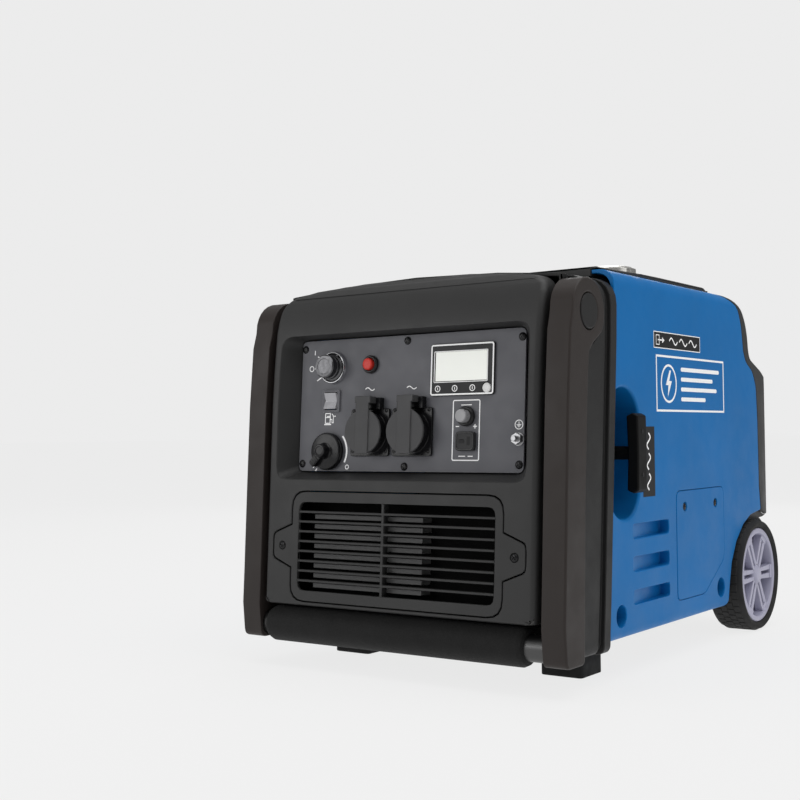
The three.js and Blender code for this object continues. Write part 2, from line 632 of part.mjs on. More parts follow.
// ---- Control panel: everything here is in the panel's own leaning frame -------------
// x is across, z is up the plate from its lower edge, and y = 0 is the plate's front face.
const SOCKETS = [{ name: "left", x: -43.5, z: 41 }, { name: "right", x: 10.2, z: 41 }];
const CUP = { outer: 22, bore: 19.6, front: -13, back: 6 };
const LID = { r: 23.2, hingeZ: 34, hingeY: -9 };
const SPOTS = {
  starter: [-96.5, 111.5], start: [-46.5, 113], eco: [-98, 75.5], valve: [-100, 21.5],
  breaker: [74.5, 56], dc: [75.5, 31], ground: [135, 33], display: [69, 103.5],
  displayButton: [98.8, 84],
};

function controlPanel() {
  let body = alongY(rounded(-PANEL.x, PANEL.x, 0, PANEL.height, PANEL.corner), 0, 3, 4);
  for (const { x, z } of SOCKETS)
    body = body.subtract(bar("y", CUP.outer + GAP, -2, 5, [x, z], 22));
  const [ex, ez] = SPOTS.eco;
  body = body.add(alongY(rounded(ex - 12, ex + 12, ez - 12, ez + 12, 2), -2, 1, 2));
  body = body.subtract(box(ex - 8.5, ex + 8.5, -8, 5, ez - 9.5, ez + 9.5));
  for (const [spot, r, bore] of [["start", 8.6, 6.8], ["breaker", 9, 6.9]]) {
    body = body.add(bar("y", r, -3.5, 1, SPOTS[spot], 20));
    body = body.subtract(bar("y", bore, -5, 5, SPOTS[spot], 20));
  }
  const [bx, bz] = SPOTS.displayButton;
  return piece("control_panel", body.subtract(bar("y", 5.4, -1, 5, [bx, bz], 16)), MAT.plate);
}

function starterRing() {
  const profile = [[15.4, -0.4], [17.6, -0.4], [16.4, -4.4], [15.4, -4.4], [15.4, -0.4]];
  return piece("starter_knob_ring", turned("y", profile, SPOTS.starter, 24), MAT.chrome);
}

function starterKnob() {
  const profile = [[0, -0.4], [14.8, -0.4], [14.8, -6], [12.8, -8], [12.4, -17.4], [11.6, -18.2],
    [0, -18.2]];
  return piece("starter_knob", turned("y", profile, SPOTS.starter, 24), MAT.chrome);
}

// A round push button: a cap in front and a stem behind it.
function pushButton(name, spot, r, reach, mat) {
  const profile = [[0, 4], [r, 4], [r, -reach + 1], [r - 1, -reach], [0, -reach]];
  return piece(name, turned("y", profile, SPOTS[spot], 16), mat);
}

function ecoRocker() {
  const [x, z] = SPOTS.eco;
  const shape = outline([[-4.5, -8.6], [-1.2, 0], [-4.5, 8.6], [3.2, 8.4], [3.2, -8.4]]);
  const body = alongX(shape, -8, 8, 2);
  const mesh = piece("eco_rocker", body, MAT.dark);
  mesh.position.set(x, 0, z);
  return mesh;
}

// A disc with a raised hub and a lever that points down to the left.
function valveKnob() {
  const [x, z] = SPOTS.valve;
  const profile = [[0, -0.4], [20, -0.4], [20, -5.5], [18.5, -7], [8, -8], [7.2, -17], [0, -17]];
  const lever = outline([[3.5, -3.5], [-10.5, -17.5, 3], [-17.5, -10.5, 3], [-3.5, 3.5]]);
  const body = turned("y", profile, [0, 0], 24).add(alongY(lever, -14, -5, 2));
  const mesh = piece("fuel_valve_knob", body, MAT.dark);
  mesh.position.set(x, 0, z);
  return mesh;
}

function socketBody({ name, x, z }) {
  const flange = alongY(rounded(x - 25, x + 25, z - 25, z + 25, 3), -3.4, -0.4, 2);
  const cup = bar("y", CUP.outer, CUP.front, CUP.back + 20, [x, z], 22);
  const bore = bar("y", CUP.bore, CUP.front - 1, CUP.back, [x, z], 22);
  let body = flange.add(cup).subtract(bore);
  const hinge = box(x - 16, x + 16, -8, -1, z + 24, z + 36);
  const barrel = box(x - 10.6, x + 10.6, -16, -4.6, z + 24.6, z + 40);
  const post = bar("y", 2, CUP.back - 12, CUP.back + 4, [x, z], 8);
  body = body.add(hinge.subtract(barrel)).subtract(post);
  for (const s of [-1, 1])
    body = body.subtract(bar("y", 2.5, CUP.back - 1, CUP.back + 14, [x + 9.5 * s, z], 10));
  return piece(`socket_${name}`, body, MAT.dark);
}

// The lid hangs from its hinge bar; its own frame is centred on the hinge axis.
function socketLid({ name, x, z }) {
  const drop = LID.hingeZ;
  const top = CUP.front - GAP - LID.hingeY;
  let body = bar("y", LID.r, top - 3, top, [0, -drop], 24);
  body = body.add(box(-8, 8, top - 4.5, top - 2, -drop - LID.r + 0.4, 1));
  body = body.add(box(-10, 10, top - 4.5, 3, -4, 3));
  const bead = bar("x", 3, -10, 10, [0, 0], 8);
  const mesh = piece(`socket_lid_${name}`, body.add(bead), MAT.black);
  mesh.position.set(x, LID.hingeY, z + drop);
  return mesh;
}

function displayModule() {
  const [x, z] = SPOTS.display;
  let body = alongY(rounded(x - 38, x + 38, z - 26.5, z + 26.5, 3), -2.4, -0.4, 2);
  body = body.subtract(box(x - 32, x + 30, -3, -1.4, z - 12, z + 18.5));
  const [bx, bz] = SPOTS.displayButton;
  body = body.subtract(bar("y", 5.6, -4, 1, [bx, bz], 16));
  return piece("display_module", body, MAT.dark);
}

function displayScreen() {
  const [x, z] = SPOTS.display;
  return piece("display_screen",
    box(x - 31.6, x + 29.6, -2.6, -1.8, z - 11.6, z + 18.1), MAT.screen);
}

function dcSocket() {
  const [x, z] = SPOTS.dc;
  let body = alongY(rounded(x - 11, x + 11, z - 9.5, z + 9.5, 3), -4.4, -0.4, 2);
  body = body.subtract(box(x - 6.5, x - 0.5, -6, -1.6, z - 1.6, z + 1.6));
  body = body.subtract(box(x + 3, x + 6, -6, -1.6, z - 4, z + 4));
  return piece("dc_socket", body, MAT.dark);
}

function groundTerminal() {
  const nut = bar("y", 6, -6, -0.4, SPOTS.ground, 6);
  return piece("ground_terminal", nut.add(bar("y", 2.8, -11, -5, SPOTS.ground, 12)), MAT.steel);
}

function controlGroup() {
  const group = new THREE.Group();
  group.add(controlPanel(), starterRing(), starterKnob(), ecoRocker(), valveKnob());
  group.add(pushButton("start_button", "start", 6.4, 7.5, MAT.red));
  group.add(pushButton("breaker_button", "breaker", 6.5, 12, MAT.silver));
  group.add(pushButton("display_button", "displayButton", 5, 3.4, MAT.white));
  for (const socket of SOCKETS) group.add(socketBody(socket), socketLid(socket));
  group.add(displayModule(), displayScreen(), dcSocket(), groundTerminal());
  group.position.set(0, PANEL.y, PANEL.z);
  group.rotation.x = -THREE.MathUtils.degToRad(PANEL.lean);
  return group;
}

// ---- Pull starter -------------------------------------------------------------------
function recoilHandle() {
  const grip = outline([[200.5, 185, 2], [206.3, 188, 2], [206.8, 226], [206.3, 264, 2],
    [200.5, 267, 2], [193.5, 264, 2], [195, 226], [193.5, 188, 2]]);
  const stem = bar("x", 7, 172, 197, [ROPE.y, ROPE.z], 16);
  return piece("recoil_handle", alongY(grip, 148, 169, 3).add(stem), MAT.dark);
}

// The rope runs straight over the pulley's rim, as long as the pull that is modelled.
function recoilRope() {
  return piece("recoil_rope",
    bar("x", ROPE.r, -134, 172 - GAP, [ROPE.y, ROPE.z], 10), MAT.foam);
}

function recoilPulley() {
  const y = ROPE.y;
  const r = PULLEY_R;
  const profile = [[13, y - 5], [r - 0.6, y - 5], [r - 0.6, y + 5], [13, y + 5], [13, y - 5]];
  return piece("recoil_pulley", turned("y", profile, [CRANK.x, CRANK.z], 24), MAT.dark);
}

function recoilHousing() {
  const profile = [[13, 146], [66, 146], [66, 150], [17, 150], [17, 152.6], [13, 152.6],
    [13, 146]];
  return piece("recoil_housing", turned("y", profile, [CRANK.x, CRANK.z], 20), MAT.black);
}

// ---- Engine, alternator and fuel system, inside the housing --------------------------
function crankshaft() {
  const profile = [[0, 168], [10, 168], [10, 276], [14, 276], [14, 330], [26, 330],
    [26, 342], [12, 342], [12, 398], [0, 398]];
  return piece("crankshaft", turned("y", profile, [CRANK.x, CRANK.z], 14), MAT.steel);
}

function flywheelFan() {
  const disc = [[10 + GAP, 178], [72, 178], [72, 184], [10 + GAP, 184], [10 + GAP, 178]];
  let body = turned("y", disc, [0, 0], 24);
  const blades = 10;
  for (let i = 0; i < blades; i += 1) {
    const blade = new THREE.BoxGeometry(3, 17, 34).translate(0, 191.5, 53);
    body = body.add(solid(blade.rotateY((i * 2 * Math.PI) / blades)));
  }
  const mesh = piece("flywheel_fan", body, MAT.cast);
  mesh.position.set(CRANK.x, 0, CRANK.z);
  return mesh;
}

function alternatorRotor() {
  const profile = [[10 + GAP, 210], [66, 210], [66, 262], [61, 262], [61, 215],
    [10 + GAP, 215], [10 + GAP, 210]];
  return piece("alternator_rotor", turned("y", profile, [CRANK.x, CRANK.z], 20), MAT.steel);
}

function alternatorStator() {
  const core = [[16, 220], [40, 220], [40, 270], [16, 270], [16, 220]];
  let body = turned("y", core, [0, 0], 18);
  const teeth = 9;
  for (let i = 0; i < teeth; i += 1) {
    const tooth = new THREE.BoxGeometry(8, 34, 20).translate(0, 243, 49);
    body = body.add(solid(tooth.rotateY((i * 2 * Math.PI) / teeth)));
  }
  const mesh = piece("alternator_stator", body, MAT.copper);
  mesh.position.set(CRANK.x, 0, CRANK.z);
  return mesh;
}

function crankcase() {
  const base = alongX(outline([[278, 62, 8], [396, 62, 8], [396, 236, 30], [278, 236, 30]]),
    -74, 74, 4);
  const cavity = bar("y", 40, 284, 390, [CRANK.x, CRANK.z], 16);
  const shaft = bar("y", 15, 270, 410, [CRANK.x, CRANK.z], 12);
  const feet = box(-90, 90, 284, 390, 45.6, 63);
  return piece("engine_crankcase", union(base, feet).subtract(cavity).subtract(shaft), MAT.cast);
}

function cylinderHead() {
  let body = box(-42, 42, 294, 380, 236.6, 318);
  for (let i = 0; i < 6; i += 1) {
    const z = 244 + i * 10;
    body = body.add(box(-54, 54, 286, 388, z, z + 4));
  }
  return piece("cylinder_head", body, MAT.cast);
}

function carburettor() {
  const body = box(-98, -74.6, 316, 350, 250, 288).add(bar("x", 14, -112, -90, [333, 268], 16));
  return piece("carburettor", body, MAT.cast);
}

function airFilter() {
  const body = alongZ(rounded(-176, -112.6, 280, 404, 8), 205, 318, 3);
  return piece("air_filter_box", body, MAT.dark);
}

function muffler() {
  const shell = alongX(rounded(424, 516, 180, 296, 26), -84, 122, 5);
  const pipe = bar("y", 14, 500, 584, [95, 226], 20);
  const inlet = bar("y", 15, 389, 440, [30, 262], 16);
  return piece("muffler", union(shell, pipe, inlet), MAT.steel);
}

function fuelTank() {
  const shape = (inset) => rounded(-150 + inset, 150 - inset, 134 + inset, 410 - inset, 24);
  const outer = alongZ(shape(0), 330, 398, 4);
  const hollow = alongZ(shape(3), 333, 395, 4);
  const mouth = bar("z", 25, 390, 405, [CAP.x, CAP.y], 24);
  return piece("fuel_tank", outer.subtract(hollow).subtract(mouth), MAT.dark);
}

function fillerNeck() {
  const profile = [[25, 398.4], [28.4, 398.4], [28.4, 428], [25, 428], [25, 398.4]];
  return piece("filler_neck", turned("z", profile, [CAP.x, CAP.y], 20), MAT.steel);
}

function capInsert() {
  const profile = [[0, 420], [22, 420], [22, 428.4], [27, 428.4], [27, 436], [0, 436]];
  return piece("fuel_cap_insert", turned("z", profile, [CAP.x, CAP.y], 16), MAT.rubber);
}

function fuelCap() {
  const { r, top } = CAP;
  const profile = [[29.2, 423], [r, 423], [r, top - 4], [r - 4, top], [0, top], [0, 437],
    [29.2, 437], [29.2, 423]];
  let body = turned("z", profile, [0, 0], 24);
  const notches = 8;
  for (let i = 0; i < notches; i += 1) {
    const angle = (i * 2 * Math.PI) / notches;
    const at = [(r + 1.5) * Math.cos(angle), (r + 1.5) * Math.sin(angle)];
    body = body.subtract(bar("z", 4.2, 426, top + 2, at, 6));
  }
  const mesh = piece("fuel_cap", body, MAT.silver);
  mesh.position.set(CAP.x, CAP.y, 0);
  return mesh;
}

function inverterModule() {
  let body = box(-104, 100, 62, 96, 84, 178);
  for (let i = 0; i < 9; i += 1) {
    const z = 88 + i * 10;
    body = body.add(box(-104, 100, 50, 63, z, z + 4));
  }
  return piece("inverter_module", body, MAT.cast);
}

function battery() {
  return piece("starter_battery", box(104, 158, 200, 300, 46, 128), MAT.dark);
}

// ---- Assembly -----------------------------------------------------------------------
const generator = new THREE.Group();
generator.add(frontHousing(), frontCover(), intakeGrille(), topCover(), rearCover());
generator.add(exhaustOutlet(), chassis(), wheelAxle(), handleTube(), gripFoam());
for (const side of [-1, 1]) {
  generator.add(sidePanel(side), serviceHatch(side), handleArm(side), pivotPin(side));
  generator.add(tyre(side), wheelRim(side), foot(side));
}
generator.add(controlGroup());
generator.add(recoilHandle(), recoilRope(), recoilPulley(), recoilHousing());
generator.add(crankshaft(), flywheelFan(), alternatorRotor(), alternatorStator());
generator.add(crankcase(), cylinderHead(), carburettor(), airFilter(), muffler());
generator.add(fuelTank(), fillerNeck(), capInsert(), fuelCap());
generator.add(inverterModule(), battery());
generator.position.y = -(LENGTH + 1) / 2;

export default generator;
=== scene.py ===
"""Looks of a wheeled portable inverter generator with a fold-up trolley handle.

Metres in the scene; X runs across, Y from the handle end to the exhaust end, Z up.
Faces of the object have frames of their own, in millimetres: x to the right as seen
from outside, z up the face and y into it.
"""

import json
import math

import bmesh
import bpy
from mathutils import Matrix, Vector


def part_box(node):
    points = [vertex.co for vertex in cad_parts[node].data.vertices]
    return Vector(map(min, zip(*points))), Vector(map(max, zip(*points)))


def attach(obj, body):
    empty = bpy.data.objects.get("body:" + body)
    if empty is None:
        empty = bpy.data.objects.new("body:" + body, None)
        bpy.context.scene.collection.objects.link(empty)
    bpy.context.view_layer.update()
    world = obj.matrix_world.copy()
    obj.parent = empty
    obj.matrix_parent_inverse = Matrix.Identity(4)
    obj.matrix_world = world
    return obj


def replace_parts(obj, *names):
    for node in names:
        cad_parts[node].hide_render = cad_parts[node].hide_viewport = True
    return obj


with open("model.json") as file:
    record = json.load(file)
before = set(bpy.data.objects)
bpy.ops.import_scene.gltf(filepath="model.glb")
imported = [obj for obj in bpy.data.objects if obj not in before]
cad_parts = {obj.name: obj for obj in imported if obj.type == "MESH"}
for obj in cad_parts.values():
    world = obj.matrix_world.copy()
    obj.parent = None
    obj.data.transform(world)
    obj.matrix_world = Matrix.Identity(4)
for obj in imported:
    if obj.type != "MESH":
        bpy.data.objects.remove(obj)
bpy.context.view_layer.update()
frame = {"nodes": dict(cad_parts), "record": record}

MM = 0.001
WELD = 0.05 * MM
BODY_OF = {node: body for body, nodes in frame["record"]["behaviour"]["bodies"].items()
           for node in nodes}
SLOT_OF = {part["node"]: part["material_slot"] for part in frame["record"]["subparts"]}

# ---- Camera, studio and lights -----------------------------------------------------------
CAMERA_PLACE = (0.7490, -1.3224, 0.2478)
CAMERA_TURN = math.radians(35.557)  # to the left of straight along +Y
CAMERA_TILT = math.radians(1.561)  # upwards
CAMERA_ROLL = math.radians(-0.6465)
CAMERA_LENS = 56.52
BACKGROUND = (0.838, 0.838, 0.838)  # the plain studio ground, in linear light


def make_camera():
    """The camera at the object's three-quarter view."""
    data = bpy.data.cameras.new("camera")
    data.lens = CAMERA_LENS
    data.clip_start = 0.05
    data.clip_end = 200.0
    camera = bpy.data.objects.new("camera", data)
    bpy.context.scene.collection.objects.link(camera)
    turn = Matrix.Rotation(CAMERA_TURN, 4, "Z")
    tilt = Matrix.Rotation(math.pi / 2 + CAMERA_TILT, 4, "X")
    roll = Matrix.Rotation(CAMERA_ROLL, 4, "Z")
    camera.matrix_world = Matrix.Translation(CAMERA_PLACE) @ turn @ tilt @ roll
    bpy.context.scene.camera = camera


def area_light(name, place, target, size, power, color=(1.0, 1.0, 1.0)):
    data = bpy.data.lights.new(name, "AREA")
    data.shape = "RECTANGLE"
    data.size, data.size_y = size
    data.energy = power
    data.color = color
    light = bpy.data.objects.new(name, data)
    bpy.context.scene.collection.objects.link(light)
    aim = (Vector(target) - Vector(place)).to_track_quat("-Z", "Y")
    light.matrix_world = Matrix.Translation(place) @ aim.to_matrix().to_4x4()


def make_world():
    """Pale for the camera; for the light it gives, brighter overhead than at the horizon."""
    world = bpy.data.worlds.new("studio")
    bpy.context.scene.world = world
    world.use_nodes = True
    nodes, links = world.node_tree.nodes, world.node_tree.links
    nodes.clear()
    place = nodes.new("ShaderNodeTexCoord")
    axes = nodes.new("ShaderNodeSeparateXYZ")
    links.new(place.outputs["Generated"], axes.inputs[0])
    height = nodes.new("ShaderNodeMapRange")
    height.inputs["From Min"].default_value = -0.2
    height.inputs["From Max"].default_value = 1.0
    height.inputs["To Min"].default_value = 0.10
    height.inputs["To Max"].default_value = 0.70
    links.new(axes.outputs["Z"], height.inputs["Value"])
    lit = nodes.new("ShaderNodeBackground")
    links.new(height.outputs["Result"], lit.inputs["Strength"])
    seen = nodes.new("ShaderNodeBackground")
    seen.inputs["Color"].default_value = (*BACKGROUND, 1.0)
    path = nodes.new("ShaderNodeLightPath")
    mix = nodes.new("ShaderNodeMixShader")
    links.new(path.outputs["Is Camera Ray"], mix.inputs[0])
    links.new(lit.outputs[0], mix.inputs[1])
    links.new(seen.outputs[0], mix.inputs[2])
    output = nodes.new("ShaderNodeOutputWorld")
    links.new(mix.outputs[0], output.inputs["Surface"])


def make_floor():
    """A wide, pale floor that meets the background without a line."""
    size = 60.0
    mesh = bpy.data.meshes.new("floor")
    corners = [(-size, -size, 0), (size, -size, 0), (size, size, 0), (-size, size, 0)]
    mesh.from_pydata(corners, [], [(0, 1, 2, 3)])
    floor = bpy.data.objects.new("floor", mesh)
    bpy.context.scene.collection.objects.link(floor)
    material = bpy.data.materials.new("studio_floor")
    material.use_nodes = True
    shader = material.node_tree.nodes["Principled BSDF"]
    shader.inputs["Base Color"].default_value = (0.09, 0.09, 0.09, 1.0)
    shader.inputs["Roughness"].default_value = 1.0
    shader.inputs["Specular IOR Level"].default_value = 0.0
    shader.inputs["Emission Color"].default_value = (*BACKGROUND, 1.0)
    shader.inputs["Emission Strength"].default_value = 0.945
    mesh.materials.append(material)


make_camera()
make_world()
make_floor()
area_light("key_overhead", (0.5, -0.2, 2.4), (0.0, 0.0, 0.25), (1.8, 2.4), 30.0)
area_light("right_softbox", (2.2, 0.5, 1.1), (0.1, 0.1, 0.2), (1.6, 1.4), 8.0)
area_light("front_softbox", (-1.3, -2.0, 0.8), (0.0, -0.2, 0.25), (1.4, 1.0), 12.0)
area_light("back_fill", (-1.2, 2.3, 1.2), (0.0, 0.2, 0.25), (1.6, 1.2), 12.0)
bpy.context.scene.view_settings.view_transform = "Standard"


# ---- Materials ---------------------------------------------------------------------------
class Finish:
    """A Principled material whose colour, roughness and relief vary over the surface."""

    def __init__(self, name, color, roughness, metallic=0.0):
        self.material = bpy.data.materials.new(name)
        self.material.use_nodes = True
        self.material.diffuse_color = (*color, 1.0)
        self.color = color
        tree = self.material.node_tree
        self.nodes, self.links = tree.nodes, tree.links
        self.shader = self.nodes["Principled BSDF"]
        self.shader.inputs["Metallic"].default_value = metallic
        self.shader.inputs["Roughness"].default_value = roughness
        self.shader.inputs["Specular IOR Level"].default_value = 0.28
        self.shader.inputs["Base Color"].default_value = (*color, 1.0)
        self.place = self.nodes.new("ShaderNodeTexCoord").outputs["Object"]
        self.relief = None

    def set(self, **values):
        for name, value in values.items():
            self.shader.inputs[name.replace("_", " ")].default_value = value
        return self

    def noise(self, scale, detail=2.0, stretch=None):
        """Noise with the given number of features per metre, stretched along an axis."""
        texture = self.nodes.new("ShaderNodeTexNoise")
        texture.inputs["Scale"].default_value = scale
        texture.inputs["Detail"].default_value = detail
        place = self.place
        if stretch:
            mapping = self.nodes.new("ShaderNodeMapping")
            mapping.inputs["Scale"].default_value = stretch
            self.links.new(place, mapping.inputs["Vector"])
            place = mapping.outputs["Vector"]
        self.links.new(place, texture.inputs["Vector"])
        return texture.outputs["Fac"]

    def cells(self, scale):
        texture = self.nodes.new("ShaderNodeTexVoronoi")
        texture.inputs["Scale"].default_value = scale
        self.links.new(self.place, texture.inputs["Vector"])
        return texture.outputs["Distance"]

    def spread(self, value, to, source=(0.3, 0.7)):
        node = self.nodes.new("ShaderNodeMapRange")
        node.inputs["From Min"].default_value, node.inputs["From Max"].default_value = source
        node.inputs["To Min"].default_value, node.inputs["To Max"].default_value = to
        self.links.new(value, node.inputs["Value"])
        return node.outputs["Result"]

    def tint(self, value, dark, bright):
        """Colour that goes from dark to bright times the base colour, by value."""
        mix = self.nodes.new("ShaderNodeMix")
        mix.data_type = "RGBA"
        mix.inputs["A"].default_value = (*[c * dark for c in self.color], 1.0)
        mix.inputs["B"].default_value = (*[min(c * bright, 1.0) for c in self.color], 1.0)
        self.links.new(value, mix.inputs["Factor"])
        return self.paint(mix.outputs["Result"])

    def edges_worn_and_highlit(self, color, radius=0.9, amount=0.55):
        """Lighter edges where the surface turns sharply: partly rubbed wear, partly a painted
        highlight.
        """
        bevel = self.nodes.new("ShaderNodeBevel")
        bevel.samples = 4
        bevel.inputs["Radius"].default_value = radius * MM
        normal = self.nodes.new("ShaderNodeNewGeometry").outputs["Normal"]
        dot = self.nodes.new("ShaderNodeVectorMath")
        dot.operation = "DOT_PRODUCT"
        self.links.new(bevel.outputs["Normal"], dot.inputs[0])
        self.links.new(normal, dot.inputs[1])
        edge = self.spread(dot.outputs["Value"], (amount, 0.0), (0.86, 0.985))
        broken = self.nodes.new("ShaderNodeMath")
        broken.operation = "MULTIPLY"
        self.links.new(edge, broken.inputs[0])
        self.links.new(self.spread(self.noise(160.0, 3.0), (0.2, 1.0)), broken.inputs[1])
        mix = self.nodes.new("ShaderNodeMix")
        mix.data_type = "RGBA"
        mix.inputs["B"].default_value = (*color, 1.0)
        self.links.new(self.shader.inputs["Base Color"].links[0].from_socket, mix.inputs["A"])
        self.links.new(broken.outputs[0], mix.inputs["Factor"])
        return self.paint(mix.outputs["Result"])

    def paint(self, color):
        self.links.new(color, self.shader.inputs["Base Color"])
        return self

    def gloss(self, value, to):
        self.links.new(self.spread(value, to), self.shader.inputs["Roughness"])
        return self

    def bump(self, value, height, strength=1.0):
        """Relief of the given height in millimetres, added to what is there already."""
        node = self.nodes.new("ShaderNodeBump")
        node.inputs["Strength"].default_value = strength
        node.inputs["Distance"].default_value = height * MM
        self.links.new(value, node.inputs["Height"])
        if self.relief:
            self.links.new(self.relief, node.inputs["Normal"])
        self.relief = node.outputs["Normal"]
        self.links.new(self.relief, self.shader.inputs["Normal"])
        return self


def moulded(name, color, roughness, grain, edge_wear_and_highlight, shine=0.28):
    """Textured plastic: a fine spark-eroded grain, slight flow marks and lighter edges, partly
    rubbed wear and partly a painted highlight.
    """
    look = Finish(name, color, roughness).set(Specular_IOR_Level=shine)
    look.tint(look.noise(9.0, 4.0), 0.86, 1.16)
    look.gloss(look.noise(35.0, 5.0), (roughness - 0.06, roughness + 0.08))
    look.bump(look.noise(1500.0, 2.0), grain, 0.6)
    look.bump(look.noise(14.0, 2.0), 0.35, 0.25)
    return look.edges_worn_and_highlit(edge_wear_and_highlight).material


def metal(name, color, roughness, stretch=(1.0, 1.0, 30.0), marks=0.05):
    look = Finish(name, color, roughness, metallic=1.0)
    look.tint(look.noise(40.0, 4.0), 0.85, 1.1)
    brushed = look.noise(220.0, 4.0, stretch)
    look.gloss(brushed, (max(roughness - 0.08, 0.04), roughness + 0.1))
    return look.bump(brushed, marks, 0.5).material


def foam():
    look = Finish("foam_sleeve", (0.008, 0.008, 0.008), 0.92)
    look.tint(look.noise(60.0, 5.0), 0.7, 1.5)
    look.bump(look.cells(900.0), 0.45, 0.9)
    look.bump(look.noise(180.0, 4.0), 0.5, 0.6)
    return look.set(Sheen_Weight=0.05, Sheen_Roughness=0.6).material


def rubber(name, color):
    look = Finish(name, color, 0.78)
    look.tint(look.noise(50.0, 6.0), 0.75, 1.7)
    look.gloss(look.noise(80.0, 4.0), (0.68, 0.92))
    look.bump(look.noise(700.0, 3.0), 0.12, 0.7)
    return look.edges_worn_and_highlit((0.06, 0.058, 0.055), 0.8, 0.5).material


def braided():
    look = Finish("braided_rope", (0.03, 0.03, 0.03), 0.8)
    strands = look.cells(1100.0)
    look.tint(strands, 0.5, 2.4)
    return look.bump(strands, 0.3, 0.9).material


def lacquered_plate():
    look = Finish("panel_plate", (0.104, 0.105, 0.117), 0.42)
    look.tint(look.noise(22.0, 4.0), 0.9, 1.12)
    look.gloss(look.noise(60.0, 5.0), (0.36, 0.5))
    look.bump(look.noise(1100.0, 2.0), 0.035, 0.5)
    # The bright edge colour is partly a bare metal edge and partly a painted highlight.
    return look.edges_worn_and_highlit((0.55, 0.55, 0.57), 0.8, 1.0).material


def liquid_crystal():
    look = Finish("display_glass", (0.93, 0.95, 0.89), 0.25)
    look.tint(look.noise(18.0, 2.0), 0.97, 1.04)
    return look.set(Coat_Weight=0.8, Coat_Roughness=0.06).bump(
        look.noise(40.0, 1.0), 0.02, 0.3).material


def ink(name, color, glow=0.0):
    """Screen-printed ink, a little uneven; glow gives it a painted glow that brightens it."""
    look = Finish(name, color, 0.5).set(Emission_Color=(1.0, 1.0, 1.0, 1.0),
                                        Emission_Strength=glow)
    look.tint(look.noise(300.0, 3.0), 0.88, 1.05)
    return look.bump(look.noise(2000.0, 2.0), 0.01, 0.4).material


def windings():
    look = Finish("copper_windings", (0.42, 0.17, 0.07), 0.35, metallic=1.0)
    turns = look.noise(60.0, 1.0, (1.0, 40.0, 1.0))
    return look.tint(turns, 0.6, 1.3).bump(turns, 0.4, 0.8).material


def glossy(name, color, roughness):
    look = Finish(name, color, roughness)
    look.tint(look.noise(90.0, 3.0), 0.9, 1.1)
    look.gloss(look.noise(120.0, 3.0), (roughness - 0.05, roughness + 0.08))
    return look.bump(look.noise(400.0, 2.0), 0.02, 0.4).material


def cast_metal():
    look = Finish("cast_aluminium", (0.36, 0.36, 0.37), 0.5, metallic=0.9)
    look.tint(look.noise(70.0, 5.0), 0.7, 1.2)
    return look.bump(look.noise(500.0, 4.0), 0.25, 0.8).material


# Edge colours: partly rubbed wear, partly a painted highlight.
BLACK_EDGE_WEAR_AND_HIGHLIGHT, BLUE_EDGE_WEAR_AND_HIGHLIGHT = (0.10, 0.098, 0.095), (0.10, 0.22, 0.44)
LOOKS = {
    "black_plastic": moulded("black_cover_plastic", (0.030, 0.030, 0.030), 0.46, 0.14,
                             BLACK_EDGE_WEAR_AND_HIGHLIGHT),
    "dark_plastic": moulded("dark_fitting_plastic", (0.014, 0.014, 0.015), 0.42, 0.06,
                            BLACK_EDGE_WEAR_AND_HIGHLIGHT),
    "blue_plastic": moulded("blue_cover_plastic", (0.004, 0.150, 0.430), 0.40, 0.07, BLUE_EDGE_WEAR_AND_HIGHLIGHT,
                            0.13),
    "panel_plate": lacquered_plate(),
    "foam": foam(),
    "rope": braided(),
    "rubber": rubber("foot_rubber", (0.010, 0.010, 0.010)),
    "tyre": rubber("tyre_rubber", (0.018, 0.018, 0.018)),
    "rim_plastic": moulded("rim_plastic", (0.43, 0.425, 0.54), 0.38, 0.03, (0.6, 0.6, 0.68)),
    "steel": metal("satin_steel", (0.42, 0.42, 0.43), 0.34),
    "chrome": metal("chrome_plate", (0.74, 0.74, 0.76), 0.16, (1, 1, 1), 0.01),
    "silver": metal("silver_plate", (0.62, 0.61, 0.58), 0.3, (1, 1, 12), 0.03),
    "red_plastic": glossy("red_button", (0.55, 0.03, 0.02), 0.28),
    "screen": liquid_crystal(),
    "white_plastic": glossy("white_button", (0.78, 0.78, 0.77), 0.35),
    "cast_aluminium": cast_metal(),
    "copper": windings(),
}
# White print with a painted glow that brightens it.
GLOWING_WHITE_INK = ink("glowing_white_print", (0.92, 0.92, 0.92), glow=0.10)
# Black ink serves as print, and as painted shade in slots and holes.
BLACK_PRINT_AND_SHADE_INK = ink("black_print_and_painted_shade", (0.005, 0.005, 0.006))
HANDLE_BLACK = moulded("black_handle_plastic", (0.029, 0.0235, 0.0215), 0.46, 0.14, BLACK_EDGE_WEAR_AND_HIGHLIGHT,
                       0.24)
# A darker copy of the black plastic: painted shade on the housing and the pivot pins.
HOUSING_PAINTED_SHADE_BLACK = moulded("black_housing_plastic_painted_shade", (0.017, 0.017, 0.017), 0.46, 0.14, BLACK_EDGE_WEAR_AND_HIGHLIGHT,
                        0.22)
PULL_BLACK = moulded("black_pull_plastic", (0.005, 0.005, 0.005), 0.5, 0.06,
                     (0.05, 0.05, 0.05), 0.12)
LID_GREY = moulded("grey_lid_plastic", (0.060, 0.060, 0.062), 0.55, 0.12, (0.2, 0.2, 0.2))
FIN_GREY = moulded("grey_duct_plastic", (0.15, 0.15, 0.15), 0.6, 0.1, BLACK_EDGE_WEAR_AND_HIGHLIGHT)
DUCT_BLACK = moulded("black_duct_plastic", (0.003, 0.003, 0.003), 0.8, 0.1,
                     (0.01, 0.01, 0.01), 0.1)
SOCKET_BLACK = moulded("black_outlet_plastic", (0.022, 0.022, 0.023), 0.5, 0.06,
                       (0.1, 0.1, 0.1))
